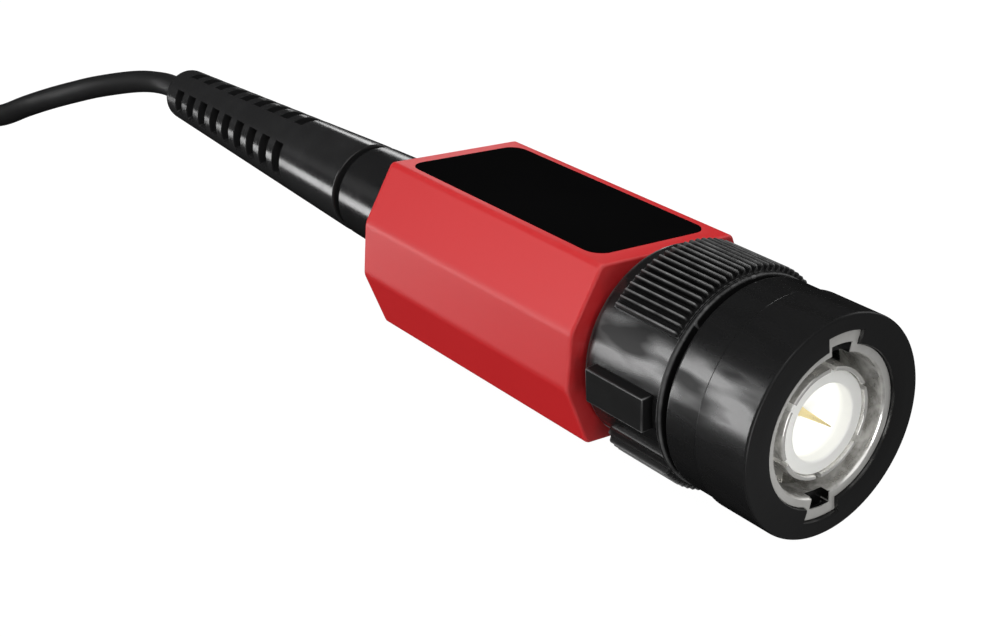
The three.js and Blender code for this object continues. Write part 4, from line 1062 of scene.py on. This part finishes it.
def make_hook_spring():
    """The coil spring: four turns of wire round the axis."""
    wire, steps, sides = SPRING.wire / 2, SPRING.steps, SPRING.sides
    start, end = SPRING.start + wire, SPRING.end - wire
    count = SPRING.turns * steps
    along = Vector((1, 0, 0))
    mesh = bmesh.new()
    rings = []
    for i in range(count + 1):
        a = 2 * pi * i / steps
        outward = Vector((0, cos(a), sin(a)))
        middle = along * (start + (end - start) * i / count) + outward * SPRING.middle
        turns = [2 * pi * k / sides for k in range(sides)]
        rings.append([mesh.verts.new(middle + outward * wire * cos(b) + along * wire * sin(b))
                      for b in turns])
    spring = piece("cover_spring", skin(mesh, rings), STEEL, ["hook_spring"], matrix=TO_HEAD)
    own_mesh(spring)


make_head_boot()
make_handle()
make_tip()
make_cover()
make_hook_spring()

# ---- CAD nodes that stay, with their finishes
KEPT = {
    "bnc_body": NICKEL, "body_nut": BRASS, "slip_washer": STEEL, "crimp_ferrule": BRASS,
    "cable_inner_run": JACKET, "compensation_board": BOARD, "series_resistor": COMPONENT,
    "compensation_capacitor": COMPONENT, "trimmer_body": CERAMIC, "trimmer_rotor": BRASS,
    "head_inner_run": JACKET, "divider_module": COMPONENT, "hook_wire": GOLD,
}
for name, finish in KEPT.items():
    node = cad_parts[name]
    node.data.materials.clear()
    node.data.materials.append(finish.material)

# ---- Stage


def make_floor():
    """White paper, lit from behind, so that nothing on it casts a shadow."""
    mesh = bmesh.new()
    bmesh.ops.create_grid(mesh, x_segments=1, y_segments=1, size=3)
    floor = as_object(mesh, "floor")
    n = Nodes("floor_paper")
    n.link(n.mix(n.noise(size=400, detail=2), (0.99, 0.99, 0.99), (1, 1, 1)), "Emission Color")
    n.settings(Base_Color=(0.05, 0.05, 0.05, 1), Emission_Strength=1, Roughness=1, Specular_IOR_Level=0)
    floor.data.materials.append(n.material)
    floor.visible_diffuse = floor.visible_glossy = floor.visible_shadow = False


def softbox(name, direction, distance, width, height, radiance, aim, rays=""):
    """A rectangular light, its sizes in metres. It faces the probe's axis at aim from that direction.
    With rays "diffuse" it only lights, and with "glossy" it is only reflected."""
    data = bpy.data.lights.new(name, "AREA")
    data.shape = "RECTANGLE"
    data.size, data.size_y = width, height
    data.energy = radiance * pi * width * height
    light = new_object(name, data)
    away = Vector(direction).normalized()
    turn = away.to_track_quat("Z", "Y").to_matrix().to_4x4()
    light.matrix_world = Matrix.Translation(place((aim, 0, 0)) + away * distance) @ turn
    light.visible_camera = False
    light.visible_diffuse = rays != "glossy"
    light.visible_glossy = rays != "diffuse"


def bearing(azimuth, elevation):
    """A direction from its azimuth and elevation in degrees."""
    a, e = radians(azimuth), radians(elevation)
    return (cos(a) * cos(e), sin(a) * cos(e), sin(e))


WORLD_STRENGTH = 0.22


def make_world():
    """Even white light from all round, which nothing reflects."""
    world = bpy.data.worlds.new("studio")
    world.use_nodes = True
    scene.world = world
    background = world.node_tree.nodes["Background"]
    background.inputs["Color"].default_value = (1, 1, 1, 1)
    background.inputs["Strength"].default_value = WORLD_STRENGTH
    world.cycles_visibility.glossy = False


make_floor()
make_world()
# Each light's direction, distance, width, height, radiance, and the place on the axis that it faces.
SOFT_LIGHT = [
    ("overhead", (0, 0, 1), 1, 2, 2, 1.4, -30),
    ("left_key", (-0.3, -0.9, -0.25), 1, 1.4, 1, 2.05, -30),
    ("far_key", (-0.75, 0.65, 0.02), 1, 1.2, 1, 1.6, -30),
]
# Reflections: on the upper and far sides, the coupling, the boot and neck, and what looks forward.
PANELS = [
    ("high_fill", (0.6, -0.35, 0.72), 0.9, 0.8, 0.8, 1.2, -30),
    ("far_fill", (0.1, 0.95, 0.5), 0.9, 0.7, 0.6, 1.2, -30),
    ("coupling_panel", bearing(231, 7), 0.8, 0.15, 0.56, 6, -6),
    ("boot_strip", bearing(214, -14), 0.8, 0.22, 0.15, 7.5, -58),
    ("boot_panel", bearing(213.5, 14), 0.8, 0.14, 0.25, 0.3, -58),
    ("back_strip", bearing(144, 13), 0.8, 0.12, 0.14, 3.2, -55),
    ("front_panel", (0.72, 0.58, -0.39), 0.9, 1.6, 1.6, 0.18, 0),
]
for light in SOFT_LIGHT:
    softbox(*light, rays="diffuse")
for light in PANELS:
    softbox(*light, rays="glossy")
# A small lamp before the coupling's mouth.
softbox("mouth_lamp", (0.75, -0.65, -0.05), 0.018, 0.011, 0.011, 4.6, 0)
scene.view_settings.view_transform = "Standard"
